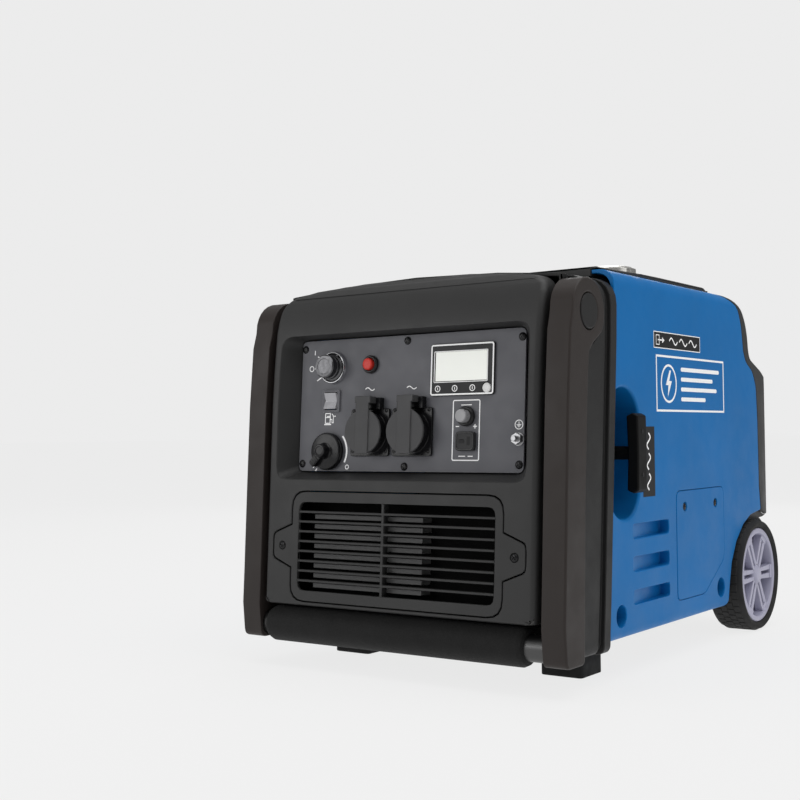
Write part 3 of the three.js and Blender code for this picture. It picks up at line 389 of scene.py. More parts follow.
GLOSS_BLACK = glossy("gloss_black_plastic", (0.006, 0.006, 0.007), 0.22)
ROCKER_GREY = glossy("grey_rocker_plastic", (0.42, 0.42, 0.44), 0.22)
SATIN_GREY = metal("satin_grey_knob", (0.11, 0.11, 0.115), 0.3, (1, 1, 1), 0.01)
BREAKER_GREY = glossy("silver_grey_button", (0.36, 0.36, 0.37), 0.5)
TUBE_GREY = metal("dark_satin_tube", (0.10, 0.10, 0.10), 0.38)
# A dark copy of the blue plastic: painted shade for the well's floor.
WELL_PAINTED_SHADE_BLUE = moulded("painted_shade_blue_plastic", (0.001, 0.009, 0.035), 0.7, 0.07,
                    (0.01, 0.03, 0.08), 0.05)


# ---- Meshes in millimetres, in a face's own frame ----------------------------------------
def facing(x, y, z, turn=0.0, lean=0.0):
    """The frame of a face whose origin is at (x, y, z) metres, turned about Z, leaning back."""
    return (Matrix.Translation((x, y, z)) @ Matrix.Rotation(math.radians(turn), 4, "Z")
            @ Matrix.Rotation(math.radians(-lean), 4, "X") @ Matrix.Scale(MM, 4))


def welded(mesh, distance=0.001):
    bm = bmesh.new()
    bm.from_mesh(mesh)
    bmesh.ops.remove_doubles(bm, verts=bm.verts, dist=distance)
    bmesh.ops.recalc_face_normals(bm, faces=bm.faces)
    bm.to_mesh(mesh)
    bm.free()
    return mesh


def turned(profile, segments=64, x=0.0, z=0.0):
    """A solid of revolution about local y. The profile is a list of (radius, y)."""
    bm = bmesh.new()
    verts = [bm.verts.new((r, y, 0.0)) for r, y in profile]
    edges = [bm.edges.new(pair) for pair in zip(verts, verts[1:])]
    bmesh.ops.spin(bm, geom=verts + edges, axis=(0, 1, 0), cent=(0, 0, 0),
                   angle=2 * math.pi, steps=segments, use_merge=True)
    bmesh.ops.remove_doubles(bm, verts=bm.verts, dist=0.001)
    bmesh.ops.recalc_face_normals(bm, faces=bm.faces)
    mesh = bpy.data.meshes.new("turned")
    bm.to_mesh(mesh)
    bm.free()
    mesh.transform(Matrix.Translation((x, 0, z)))
    return mesh


def prism(outlines, front, back, soft=0.0):
    """Closed outlines of (x, z), holes among them, filled between two depths."""
    curve = bpy.data.curves.new("outline", "CURVE")
    curve.dimensions = "2D"
    curve.fill_mode = "BOTH"
    curve.extrude = (back - front) / 2 - soft
    curve.bevel_depth = soft
    curve.bevel_resolution = 1
    curve.offset = -soft
    for points in outlines:
        spline = curve.splines.new("POLY")
        spline.points.add(len(points) - 1)
        for point, (x, z) in zip(spline.points, points):
            point.co = (x, z, 0.0, 1.0)
        spline.use_cyclic_u = True
    holder = bpy.data.objects.new("outline", curve)
    mesh = bpy.data.meshes.new_from_object(holder)
    bpy.data.objects.remove(holder)
    bpy.data.curves.remove(curve)
    mesh.transform(Matrix.Translation((0, (front + back) / 2, 0))
                   @ Matrix.Rotation(math.pi / 2, 4, "X"))
    return welded(mesh)


def block(x0, x1, y0, y1, z0, z1):
    mesh = bpy.data.meshes.new("block")
    bm = bmesh.new()
    place = (Matrix.Translation(((x0 + x1) / 2, (y0 + y1) / 2, (z0 + z1) / 2))
             @ Matrix.Diagonal((x1 - x0, y1 - y0, z1 - z0, 1.0)))
    bmesh.ops.create_cube(bm, size=1.0, matrix=place)
    bm.to_mesh(mesh)
    bm.free()
    return mesh


def moved(mesh, place):
    """A copy of a mesh at another place."""
    other = mesh.copy()
    other.transform(place)
    if place.determinant() < 0:
        other.flip_normals()
    return other


def cut(mesh, tool):
    """The mesh with another closed mesh taken out of it."""
    holders = [bpy.data.objects.new("cut", m) for m in (mesh, tool)]
    for holder in holders:
        bpy.context.scene.collection.objects.link(holder)
    modifier = holders[0].modifiers.new("cut", "BOOLEAN")
    modifier.operation, modifier.object, modifier.solver = "DIFFERENCE", holders[1], "EXACT"
    evaluated = holders[0].evaluated_get(bpy.context.evaluated_depsgraph_get())
    result = bpy.data.meshes.new_from_object(evaluated)
    for holder in holders:
        bpy.data.objects.remove(holder)
    return result


# ---- Outlines of (x, z) ------------------------------------------------------------------
def arc_points(x, z, r, start, end, count):
    steps = [math.radians(start + (end - start) * i / count) for i in range(count + 1)]
    return [(x + r * math.cos(a), z + r * math.sin(a)) for a in steps]


def disc(x, z, r, count=32):
    return arc_points(x, z, r, 0, 360 - 360 / count, count - 1)


def rect(x0, x1, z0, z1, r=0.0):
    if not r:
        return [(x0, z0), (x1, z0), (x1, z1), (x0, z1)]
    corners = [(x1 - r, z1 - r, 0), (x0 + r, z1 - r, 90), (x0 + r, z0 + r, 180),
               (x1 - r, z0 + r, 270)]
    return [p for x, z, a in corners for p in arc_points(x, z, r, a, a + 90, 4)]


def rect_line(x0, x1, z0, z1, width, r=0.0):
    """The two outlines of a rectangular frame line."""
    inner = max(r - width, 0.0)
    return [rect(x0, x1, z0, z1, r),
            rect(x0 + width, x1 - width, z0 + width, z1 - width, inner)]


def ring_line(x, z, r, width, count=32):
    return [disc(x, z, r, count), disc(x, z, r - width, count)]


def printing(front, back):
    """A function that turns outlines into ink lying between two depths of a face."""
    def mark(*outlines):
        return prism(list(outlines), front, back)

    return mark


def stroke(p, q, width):
    """A straight bar from p to q."""
    across = Vector((q[1] - p[1], p[0] - q[0])).normalized() * width / 2
    return [(p[0] + across.x, p[1] + across.y), (q[0] + across.x, q[1] + across.y),
            (q[0] - across.x, q[1] - across.y), (p[0] - across.x, p[1] - across.y)]


def arc_stroke(x, z, r, start, end, width, count=16):
    outer = arc_points(x, z, r + width / 2, start, end, count)
    inner = arc_points(x, z, r - width / 2, end, start, count)
    return outer + inner


# ---- Pieces ------------------------------------------------------------------------------
def finished(name, mesh, body, slot, material=None, bevel=0.0, steps=2, angle=32.0):
    """Makes a piece of a mesh in metres, with soft edges and smooth curved faces."""
    bm = bmesh.new()
    bm.from_mesh(mesh)
    for face in bm.faces:
        face.smooth = True
    limit = math.radians(angle)
    for edge in bm.edges:
        if len(edge.link_faces) == 2:
            edge.smooth = edge.calc_face_angle(0.0) < limit
    clean = bpy.data.meshes.new(name)
    bm.to_mesh(clean)
    bm.free()
    if "custom_normal" in clean.attributes:
        clean.attributes.remove(clean.attributes["custom_normal"])
    clean.materials.clear()
    clean.materials.append(material or LOOKS[slot])
    piece = bpy.data.objects.new(name, clean)
    bpy.context.scene.collection.objects.link(piece)
    if bevel:
        modifier = piece.modifiers.new("soft_edges", "BEVEL")
        modifier.width = bevel * MM
        modifier.segments = steps
        modifier.limit_method = "ANGLE"
        modifier.angle_limit = limit
        modifier.use_clamp_overlap = False
    piece.modifiers.new("even_shading", "WEIGHTED_NORMAL").keep_sharp = True
    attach(piece, body)
    return piece


def fitted(name, meshes, place, body, slot, material=None, bevel=0.0, steps=2, angle=32.0):
    """A piece made of meshes in millimetres, put in place by a face's frame."""
    bm = bmesh.new()
    for mesh in meshes:
        bm.from_mesh(mesh)
    whole = bpy.data.meshes.new(name)
    bm.to_mesh(whole)
    bm.free()
    whole.transform(place)
    return finished(name, whole, body, slot, material, bevel, steps, angle)


def refined(node, bevel, soft=(), steps=2, angle=32.0, material=None):
    """A CAD node's shape with its edges rounded, in the node's place.

    Each entry of soft is (test of an edge's middle in millimetres, radius, steps).
    """
    bm = bmesh.new()
    bm.from_mesh(frame["nodes"][node].data)
    bmesh.ops.remove_doubles(bm, verts=bm.verts, dist=WELD)
    bmesh.ops.dissolve_limit(bm, angle_limit=math.radians(0.7), verts=bm.verts,
                             edges=bm.edges)
    bmesh.ops.connect_verts_concave(bm, faces=[f for f in bm.faces if len(f.verts) > 4])
    for test, radius, rounds in soft:
        chosen = [e for e in bm.edges if len(e.link_faces) == 2
                  and e.calc_face_angle(0.0) > math.radians(40)
                  and test((e.verts[0].co + e.verts[1].co) / 2 / MM)]
        bmesh.ops.bevel(bm, geom=chosen, offset=radius * MM, segments=rounds, profile=0.5,
                        affect="EDGES", clamp_overlap=False)
    mesh = bpy.data.meshes.new(node)
    bm.to_mesh(mesh)
    bm.free()
    piece = finished(node + "_shell", mesh, BODY_OF[node], SLOT_OF[node], material, bevel,
                     steps, angle)
    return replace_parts(piece, node)


def stand_in(node, meshes, place, bevel=0.0, steps=2, angle=32.0, material=None):
    """A turned or cut piece that is shown in place of a CAD node."""
    piece = fitted(node + "_shell", meshes, place, BODY_OF[node], SLOT_OF[node], material,
                   bevel, steps, angle)
    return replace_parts(piece, node)


# ---- Frames of the faces -----------------------------------------------------------------
FRONT_Y = -0.299  # the plane that the front of the grip just touches
PANEL = facing(0.0, FRONT_Y + 0.030, 0.209, lean=4.06)
GRILLE = facing(0.0, FRONT_Y + 0.0017, 0.0726, lean=3.6)
SIDE_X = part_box("service_hatch_right")[1].x - 0.3 * MM
RIGHT = facing(SIDE_X, 0.0, 0.0, turn=90)
LEFT = facing(-SIDE_X, 0.0, 0.0, turn=-90)


def spot(node, place=PANEL):
    """Centre of a CAD node, as (x, z) in a face's frame."""
    low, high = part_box(node)
    at = place.inverted() @ ((low + high) / 2)
    return at.x, at.z


def part_y(y):
    """A length measured back from the front plane, as millimetres in the row frame."""
    return y + FRONT_Y / MM


# ---- Screws ------------------------------------------------------------------------------
def screw(r, high=1.6):
    """A pan-head screw with a cross recess; its seat is at y = 0."""
    head = turned([(0, -high), (0.55 * r, -0.94 * high), (0.85 * r, -0.66 * high), (r, -0.1),
                   (r, 0.8), (0, 0.8)], 28)
    arm, thick = 0.6 * r, 0.2 * r
    cross = prism([[(-thick / 2, -arm), (thick / 2, -arm), (thick / 2, -thick / 2),
                    (arm, -thick / 2), (arm, thick / 2), (thick / 2, thick / 2),
                    (thick / 2, arm), (-thick / 2, arm), (-thick / 2, thick / 2),
                    (-arm, thick / 2), (-arm, -thick / 2), (-thick / 2, -thick / 2)]],
                  -2 * high, -0.35 * high)
    return cut(head, cross)


def screws(name, spots, r, place, depth=0.0, high=1.6):
    """Black screws at the given (x, z), each turned a little differently."""
    one = screw(r, high)
    meshes = [moved(one, Matrix.Translation((x, depth, z))
                    @ Matrix.Rotation(0.2 + 0.7 * i, 4, "Y"))
              for i, (x, z) in enumerate(spots)]
    return fitted(name, meshes, place, "body", "dark_plastic", GLOSS_BLACK, angle=40)


# ---- Covers ------------------------------------------------------------------------------
def front_cover():
    """Moulded front with a soft outer rim; its other edges, round the control recess too, get
    only the small bevel.
    """
    low, high = (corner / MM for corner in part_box("front_cover"))

    def outer_rim(at):
        """True on the outer edges of the sides and of the crown, at the front."""
        return (abs(at.x) > high.x - 8 or at.z > high.z - 34) and at.y < low.y + 52

    refined("front_cover", 0.8, soft=[(outer_rim, 6.0, 5)])


def well_rim(at):
    """True on the mouth of the well that the pull starter sits in."""
    y = at.y - part_y(0)
    return at.x > SIDE_X / MM - 0.3 and 105 < y < 182 and 157 < at.z < 295


def covers():
    """The moulded shells, the feet and the screws on the sides."""
    front_cover()
    # The housing in the darker copy of the black plastic: painted shade.
    refined("front_housing", 0.9, material=HOUSING_PAINTED_SHADE_BLACK)
    refined("top_cover", 1.2)
    refined("rear_cover", 1.2)
    refined("chassis_tray", 0.8)
    for side in ("left", "right"):
        refined(f"service_hatch_{side}", 0.6)
        refined(f"foot_{side}", 1.2)
    refined("side_panel_left", 0.9)
    refined("side_panel_right", 0.9, soft=[(well_rim, 3.2, 4)])
    hatch = [(part_y(y), 164) for y in (295, 384)]
    wells = [(part_y(131.8), 62.9), (part_y(398.5), 64.1)]
    for place, side, sign in ((RIGHT, "right", 1), (LEFT, "left", -1)):
        spots = [(sign * y, z) for y, z in hatch]
        screws(f"hatch_screws_{side}", spots, 4.4, place, depth=1.4)
    for place, side, sign in ((RIGHT, "right", 1), (LEFT, "left", -1)):
        spots = [(sign * y, z) for y, z in wells]
        screws(f"well_screws_{side}", spots, 7.5, place, depth=14.6, high=3.0)


def grille():
    """Slatted intake with a dark duct behind it that holds two finned blocks."""
    refined("intake_grille", 0.7)
    screws("grille_screws", [(-144, 57.5), (144, 57.5)], 4.3, GRILLE, depth=0.9)
    x, low, high = 127.0, 6.0, 109.0
    mouth, back, wall = 10, 27, 1.5
    duct = [block(-x, x, back, back + wall, low, high),
            block(-x, -x + wall, mouth, back, low, high),
            block(x - wall, x, mouth, back, low, high),
            block(-x, x, mouth, back, low, low + wall),
            block(-x, x, mouth, back, high - wall, high)]
    fitted("intake_duct", duct, GRILLE, "body", "dark_plastic", DUCT_BLACK)
    pitch, first = 10.39, 10.9  # the fins keep step with the slats
    fins = [block(x0, x1, mouth + 1, back + 0.5, first + i * pitch - 7.2,
                  first + i * pitch - 2.4)
            for x0, x1 in ((-109, -20), (-12, 31)) for i in range(1, 9)]
    fitted("intake_fins", fins, GRILLE, "body", "dark_plastic", FIN_GREY, bevel=0.4)


# ---- Handle ------------------------------------------------------------------------------
def handle():
    """Two arms on their pins, and the cross tube with its foam sleeve."""
    for side in ("left", "right"):
        node = f"handle_arm_{side}"
        low, high = (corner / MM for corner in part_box(node))
        outside = max(abs(low.x), abs(high.x))

        def outer_edge(at):
            return abs(at.x) > outside - 0.1

        refined(node, 0.7, soft=[(outer_edge, 2.4, 3)], material=HANDLE_BLACK)
        # The pins in the darker copy of the black plastic: painted shade.
        refined(f"pivot_pin_{side}", 0.5, material=HOUSING_PAINTED_SHADE_BLACK)
    low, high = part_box("grip_foam")
    r = (high.y - low.y) / 2 / MM
    half = (high.x - low.x) / 2 / MM
    bore = 13.4
    place = facing(*((low + high) / 2), turn=90)
    ends = [(bore, -half), (r - 6, -half), (r - 2, -half + 1.6), (r, -half + 6)]
    sleeve = ends + [(r, -half / 3), (r, half / 3)]
    sleeve += [(radius, -y) for radius, y in reversed(ends)] + [ends[0]]
    grip = stand_in("grip_foam", [turned(sleeve, 64)], place)
    low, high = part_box("handle_tube")
    end = (high.x - low.x) / 2 / MM
    tube = [(11.4, -end), (12.4, -end), (13, -end + 0.6), (13, end - 0.6), (12.4, end),
            (11.4, end), (11.4, -end)]
    place = facing(*((low + high) / 2), turn=90)
    stand_in("handle_tube", [turned(tube, 48)], place, material=TUBE_GREY)


# ---- Wheels ------------------------------------------------------------------------------
def wheel_frame(side, node):
    """The wheel's frame: its outer face at y = 0, its centre at x = z = 0."""
    low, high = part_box(node)
    centre = (low + high) / 2
    outer = high.x if side > 0 else low.x
    return facing(outer, centre.y, centre.z, turn=90 * side)


def tyre_meshes():
    """A turned tyre with rows of staggered lugs round its tread."""
    r, width = 68.5, 45.0
    tread = r - 0.8
    half = [(58.4, 4.0), (61.5, 1.4), (64.5, 0.8), (66.2, 2.2), (tread, 6.5), (tread, 20.0)]
    profile = half + [(radius, width - y) for radius, y in reversed(half)] + [half[0]]
    meshes = [turned(profile, 96)]
    count, rows, lug_width, lug_half = 44, 4, 7.4, 3.9
    for row in range(rows):
        y0 = 6.8 + row * (lug_width + 0.6)
        lug = block(-lug_half, lug_half, y0, y0 + lug_width, tread - 1.0, r)
        for i in range(count):
            angle = (i + 0.5 * (row % 2)) * 2 * math.pi / count
            meshes.append(moved(lug, Matrix.Rotation(angle, 4, "Y")))
    return meshes


def rim_meshes():
    """A ring, a hub and six double spokes, with a slotted web behind them."""
    ring = turned([(57.9, 5.4), (57.1, 3.6), (52.2, 3.0), (50.8, 4.2), (50.2, 10), (50.2, 36),
                   (52, 40), (57.9, 40), (57.9, 5.4)], 96)
    hub = turned([(0, 2.6), (7.0, 2.6), (9.5, 3.6), (11.5, 6.2), (13.0, 9.5), (13.6, 22),
                  (13.6, 42), (8.4, 42), (8.4, 8), (0, 8)], 48)
    slots, slot_half = [], 1.9
    meshes = [ring, hub]
    for i in range(6):
        turn = Matrix.Rotation(i * math.pi / 3, 4, "Y")
        for edge in (-1, 1):
            spoke = prism([[(9.0, edge * 2.1), (51.0, edge * 2.1), (51.0, edge * 8.6),
                            (30.0, edge * 7.6), (9.0, edge * 6.6)]], 6.0, 15.0)
            meshes.append(moved(spoke, turn))
        foot = prism([rect(45.5, 51.0, -8.6, 8.6)], 5.0, 15.0)
        meshes.append(moved(foot, turn))
        a = i * 60
        across = math.degrees(math.atan2(slot_half, 40))
        slots.append(arc_stroke(0, 0, 31, a - across, a + across, 24, 4))
    web = prism([disc(0, 0, 51, 72), *slots], 20.5, 24.0)
    return meshes + [web]


def wheels():
    for side, sign in (("left", -1), ("right", 1)):
        place = wheel_frame(sign, f"tyre_{side}")
        stand_in(f"tyre_{side}", tyre_meshes(), place, bevel=0.4, steps=1)
        stand_in(f"wheel_rim_{side}", rim_meshes(), place, bevel=0.7)


# ---- Control panel -----------------------------------------------------------------------
def panel_marks():
    """White print: position marks, pictograms and frames, all of them generic."""
    mark = printing(-0.1, 0.05)
    # three positions of the starter switch
    sx, sz = spot("starter_knob_ring")
    shapes = []
    near, far = 19.5, 26.5
    for degrees in (150, 180, 210):
        a = math.radians(degrees)
        shapes.append(mark(stroke((sx + near * math.cos(a), sz + near * math.sin(a)),
                                  (sx + far * math.cos(a), sz + far * math.sin(a)), 1.1)))
    shapes += [mark(*ring_line(sx - 31, sz, 3.2, 0.8, 20)),
               mark(stroke((sx - 27, sz + 15), (sx - 27, sz + 20), 1.0))]
    # the fuel valve's travel between on and off, and the pump sign above it
    vx, vz = spot("fuel_valve_knob")
    shapes.append(mark(arc_stroke(vx, vz, 24.5, -28, 42, 2.0)))
    shapes.append(mark(stroke((vx + 26.5, vz + 18), (vx + 26.5, vz + 23), 1.4)))
    shapes.append(mark(*ring_line(vx + 25.5, vz - 16.5, 2.6, 0.9, 20)))
    shapes.append(mark(stroke((vx - 18.5, vz - 15.5), (vx - 21, vz - 17.6), 1.2)))
    shapes.append(mark(stroke((vx - 15.5, vz - 18.5), (vx - 17.6, vz - 21), 1.2)))
    shapes += fuel_pump(mark, vx - 6.5, vz + 28.5)
    # alternating current above each mains outlet
    for node in ("socket_left", "socket_right"):
        x = spot(node)[0] - 3.5
        shapes.append(mark(wave(x, 87, 12, 3.0, 1.0)))
    # the frame of the low-voltage outlet, with its poles and captions as plain bars
    shapes += [mark(*rect_line(58, 90.4, 11.6, 72.8, 1.1, 2.0)),
               mark(stroke((62, 46), (66, 46), 1.0)), mark(stroke((82.6, 46), (87, 46), 1.0)),
               mark(stroke((84.8, 43.8), (84.8, 48.2), 1.0)),
               mark(*ring_line(64, 31, 2.2, 0.8, 16)),
               mark(stroke((68, 67.5), (80.5, 67.5), 0.9)),
               mark(stroke((66, 16.2), (74, 16.2), 0.9)),
               mark(stroke((77, 16.2), (83, 16.2), 0.9))]
    shapes += earth_sign(mark, 135, 47.0)
    # a caption under the economy rocker, as plain bars
    ex, ez = spot("eco_rocker")
    shapes += [mark(stroke((ex - 6, ez - 16.5), (ex - 1, ez - 16.5), 0.9)),
               mark(stroke((ex + 2, ez - 16.5), (ex + 6, ez - 16.5), 0.9))]
    fitted("panel_marks", shapes, PANEL, "body", "white_plastic", GLOWING_WHITE_INK)


def fuel_pump(mark, x, z):
    """A fuel-pump pictogram with its lower left corner at (x, z)."""
    tank = rect_line(x, x + 7.5, z + 1.5, z + 13, 1.0, 0.9)
    level = mark(stroke((x + 0.8, z + 8.2), (x + 6.7, z + 8.2), 0.9))
    hose = [mark(stroke((x + 7.5, z + 6), (x + 9.6, z + 6), 0.8)),
            mark(stroke((x + 9.6, z + 2), (x + 9.6, z + 6.4), 0.8)),
            mark(stroke((x + 9.6, z + 2.4), (x + 11.4, z + 2.4), 0.8)),
            mark(stroke((x + 11.4, z + 2), (x + 11.4, z + 10), 0.8)),
            mark(stroke((x + 11.4, z + 10), (x + 9.0, z + 12.2), 0.8))]
    return [mark(*tank), level, mark(rect(x - 1, x + 8.5, z, z + 1.2)), *hose]


def earth_sign(mark, x, z):
    """The protective-earth sign in a ring centred on (x, z)."""
    bars = [mark(stroke((x, z), (x, z + 3), 0.6)), mark(*ring_line(x, z, 4.7, 0.7, 32))]
    return bars + [mark(stroke((x - half, z - 1.1 * i), (x + half, z - 1.1 * i), 0.6))
                   for i, half in enumerate((2.7, 1.8, 0.9))]


def wave(x, z, length, high, width, count=20):
    """One period of a sine wave, as a bar of the given width, starting at x."""
    upper, lower = [], []
    for i in range(count + 1):
        t = i / count
        height = high / 2 * math.sin(2 * math.pi * t)
        slope = math.pi * high / length * math.cos(2 * math.pi * t)
        across = width / 2 / math.hypot(1, slope)
        upper.append((x + length * (t - 0.5) - slope * across, z + height + across))
        lower.append((x + length * (t - 0.5) + slope * across, z + height - across))
    return upper + lower[::-1]


def starter_switch():
    """A rotary switch on a nut, inside a bright ring."""
    x, z = spot("starter_knob_ring")
    ring = turned([(15.4, -0.3), (17.8, -0.3), (17.6, -2.2), (16.6, -4.2), (15.8, -4.4),
                   (15.4, -3.6), (15.4, -0.3)], 64, x, z)
    stand_in("starter_knob_ring", [ring], PANEL)
    knob = turned([(0, -0.4), (14.8, -0.4), (14.8, -4.6), (13.9, -5.8), (12.9, -6.2),
                   (12.8, -9.6), (12.1, -10.0), (12.1, -10.9), (12.7, -11.3), (12.4, -16.6),
                   (11.3, -17.9), (8.4, -18.2), (7.9, -17.7), (0, -17.6)], 64, x, z)
    nut = prism([disc(x, z, 15.3, 6)], -5.2, -0.5, soft=0.4)
    stand_in("starter_knob", [knob, nut], PANEL, material=SATIN_GREY)


def valve_knob():
    """A round knob with a ribbed lever that points to its lower left."""
    x, z = spot("fuel_valve_knob")
    base = turned([(0, -0.4), (20, -0.4), (20, -4.9), (19.2, -6.3), (17.5, -6.9), (9.0, -7.8),
                   (7.8, -9.2), (7.3, -15.6), (6.5, -16.8), (4.7, -17.0), (4.4, -16.4),
                   (0, -16.4)], 72)
    lever = prism([[(4.2, 2), (4.2, -18.5), (3.0, -21), (-3.0, -21), (-4.2, -18.5), (-4.2, 2)]],
                  -12.6, -5.0, soft=1.0)
    meshes = [lever]
    for z_rib in (-10.5, -13.2, -15.9, -18.6):
        meshes.append(block(-3.4, 3.4, -13.4, -12.0, z_rib - 0.6, z_rib + 0.6))
    turn = Matrix.Rotation(math.radians(45), 4, "Y")
    meshes = [base] + [moved(mesh, turn) for mesh in meshes]
    meshes = [moved(mesh, Matrix.Translation((x, 0, z))) for mesh in meshes]
    stand_in("fuel_valve_knob", meshes, PANEL, bevel=0.3, steps=1, material=GLOSS_BLACK)


def knurls(x, z, r, reach, count=22):
    """Small ribs along the side of a button."""
    rib = block(-0.35, 0.35, -reach + 1.4, -5.6, r - 0.2, r + 0.3)
    place = Matrix.Translation((x, 0, z))
    return [moved(rib, place @ Matrix.Rotation(i * 2 * math.pi / count, 4, "Y"))
            for i in range(count)]


def push_buttons():
    """Three round buttons, two of them in raised collars."""
    for node, r, reach in (("start_button", 6.4, 7.5), ("breaker_button", 6.5, 12.0),
                           ("display_button", 5.0, 3.4)):
        x, z = spot(node)
        cap = turned([(0, 4), (r, 4), (r, -reach + 1.2), (r - 0.4, -reach + 0.4),
                      (r - 1.3, -reach), (r - 2.4, -reach + 0.25), (0, -reach + 0.5)], 40, x, z)
        if node == "breaker_button":
            stand_in(node, [cap, *knurls(x, z, r, reach)], PANEL, material=BREAKER_GREY)
        else:
            stand_in(node, [cap], PANEL)
    collars = []
    for node, inner, outer, high in (("start_button", 6.9, 9.6, 4.2),
                                     ("breaker_button", 7.0, 10.0, 4.4)):
        x, z = spot(node)
        collars.append(turned([(inner, 0.4), (outer, 0.4), (outer, -high + 1.4),
                               (outer - 1.2, -high), (inner + 0.6, -high), (inner, -high + 0.6),
                               (inner, 0.4)], 48, x, z))
    fitted("button_collars", collars, PANEL, "body", "dark_plastic")


def display():
    """The framed display with a row of ringed symbols under its screen."""
    mark = printing(-2.5, -2.3)
    x0, x1, z0, z1 = 36.6, 98.4, 91.6, 121.4  # edges of the screen
    frame_lines = [mark(*rect_line(31.6, 106.4, 77.6, 129.4, 1.5, 2.6)),
                   mark(*rect_line(x0 - 1.1, x1 + 1.1, z0 - 1.1, z1 + 1.1, 0.7, 1.0))]
    for x, z in ((40.5, 84.3), (61, 84.3), (82, 84.3)):
        frame_lines.append(mark(*ring_line(x, z, 3.3, 0.8, 24)))
        frame_lines.append(mark(stroke((x, z - 1.4), (x, z + 1.4), 0.8)))
    fitted("display_marks", frame_lines, PANEL, "body", "white_plastic", GLOWING_WHITE_INK)
    refined("display_module", 0.4, steps=1)
    refined("display_screen", 0.25, steps=1)


def sockets():
    """Two mains outlets with spring lids and screwed flanges."""
    for side in ("left", "right"):
        refined(f"socket_{side}", 0.5, material=GLOSS_BLACK)
        refined(f"socket_lid_{side}", 0.8, material=LID_GREY)
        x, z = spot(f"socket_{side}")
        hinge_rise, out = 5.0, 21.3
        corners = [(x + dx, z - hinge_rise + dz) for dx in (-out, out) for dz in (-out, out)]
        screws(f"socket_screws_{side}", corners, 2.1, PANEL, depth=-3.3, high=0.8)


def dc_outlet():
    """The low-voltage outlet and the ground terminal beside it."""
    refined("dc_socket", 0.5, material=SOCKET_BLACK)
    refined("ground_terminal", 0.4)
    x, z = spot("dc_socket")
    face = -4.35  # depth of the socket's flat front
    edge = prism(rect_line(x - 10.4, x + 10.4, z - 9.0, z + 9.0, 1.6, 3.4),
                 face - 0.5, face + 0.2)
    # Dark bars in the socket's two slots: painted shade.
    slots = [prism([rect(x - 7, x - 0.4, z - 2.2, z + 1.4)], face - 0.1, face + 0.1),
             prism([rect(x + 2.6, x + 6.4, z - 4.2, z + 4.4)], face - 0.1, face + 0.1)]
    fitted("dc_socket_edge", [edge], PANEL, "body", "dark_plastic", GLOSS_BLACK, bevel=0.3)
    fitted("dc_socket_slot_painted_shade", slots, PANEL, "body", "dark_plastic", BLACK_PRINT_AND_SHADE_INK)
    x, z = spot("ground_terminal")
    washer = turned([(2.9, -0.1), (6.4, -0.1), (6.4, -0.8), (5.8, -1.0), (2.9, -1.0),
                     (2.9, -0.1)], 40, x, z)
    fitted("ground_washer", [washer], PANEL, "body", "steel")


def control_panel():
    """The plate and all that is mounted on it."""
    refined("control_panel", 0.45)
    refined("eco_rocker", 0.7, material=ROCKER_GREY)
    starter_switch()
    valve_knob()
    push_buttons()
    display()
    sockets()
    dc_outlet()
    panel_marks()
    corners = [(sx, z) for z, half in ((8, 136), (133, 137)) for sx in (-half, half)]
    screws("panel_screws", corners + [(0, 5.5), (0, 136)], 4.3, PANEL)


# ---- Marks on the sides ------------------------------------------------------------------
def side_marks():
    """Plain pictograms on labels: an output arrow, a bolt in a ring and a sine wave."""
    field, mark = printing(-0.08, 0.05), printing(-0.14, -0.02)
    low, top, left, right = 337, 355, part_y(219), part_y(346)
    front, back = part_y(187), part_y(217)
    black = [field(rect(left, right, low, top)), field(rect(front, back, 179.5, 253))]
    fitted("label_fields", black, RIGHT, "body", "dark_plastic", BLACK_PRINT_AND_SHADE_INK)
    shapes = [mark(*rect_line(left, right, low, top, 0.9))]
    # an arrow out of a box, then three waves
    box_left = left + 6
    shapes += [mark(*rect_line(box_left, box_left + 9, 340.5, 351.5, 0.9)),
               mark(stroke((box_left + 5, 346), (box_left + 17, 346), 1.4)),
               mark([(box_left + 16, 342.8), (box_left + 22, 346), (box_left + 16, 349.2)])]
    for i in range(3):
        shapes.append(mark(wave(left + 52 + 27 * i, 346, 22, 7, 1.6)))
    # the large plate: a bolt in a ring and four bars
    x0, x1, z0, z1 = part_y(224), part_y(417), 269, 330
    shapes.append(mark(*rect_line(x0, x1, z0, z1, 2.2)))
    cx, cz = x0 + 33, (z0 + z1) / 2
    shapes += [mark(*ring_line(cx, cz, 21, 2.4, 48)), mark(bolt(cx, cz, 14.5))]
    for i, reach in enumerate((112, 92, 104, 70)):
        z = z1 - 14 - 11 * i
        shapes.append(mark(rect(x0 + 66, x0 + 66 + reach, z - 2.2, z + 2.2, 2.1)))
    # three upright waves beside the pull handle
    upright = Matrix.Rotation(math.pi / 2, 4, "Y")
    for i in range(3):
        place = Matrix.Translation(((front + back) / 2, 0, 195 + 21.3 * i)) @ upright
        shapes.append(moved(mark(wave(0, 0, 17, 8, 2.0)), place))
    fitted("label_marks", shapes, RIGHT, "body", "white_plastic", GLOWING_WHITE_INK)


def bolt(x, z, r):
    """A lightning bolt within a circle of radius r."""
    shape = [(0.15, 1.0), (-0.55, -0.12), (-0.08, -0.12), (-0.22, -1.0), (0.55, 0.2),
             (0.06, 0.2), (0.42, 1.0)]
    return [(x + u * r, z + v * r) for u, v in shape]


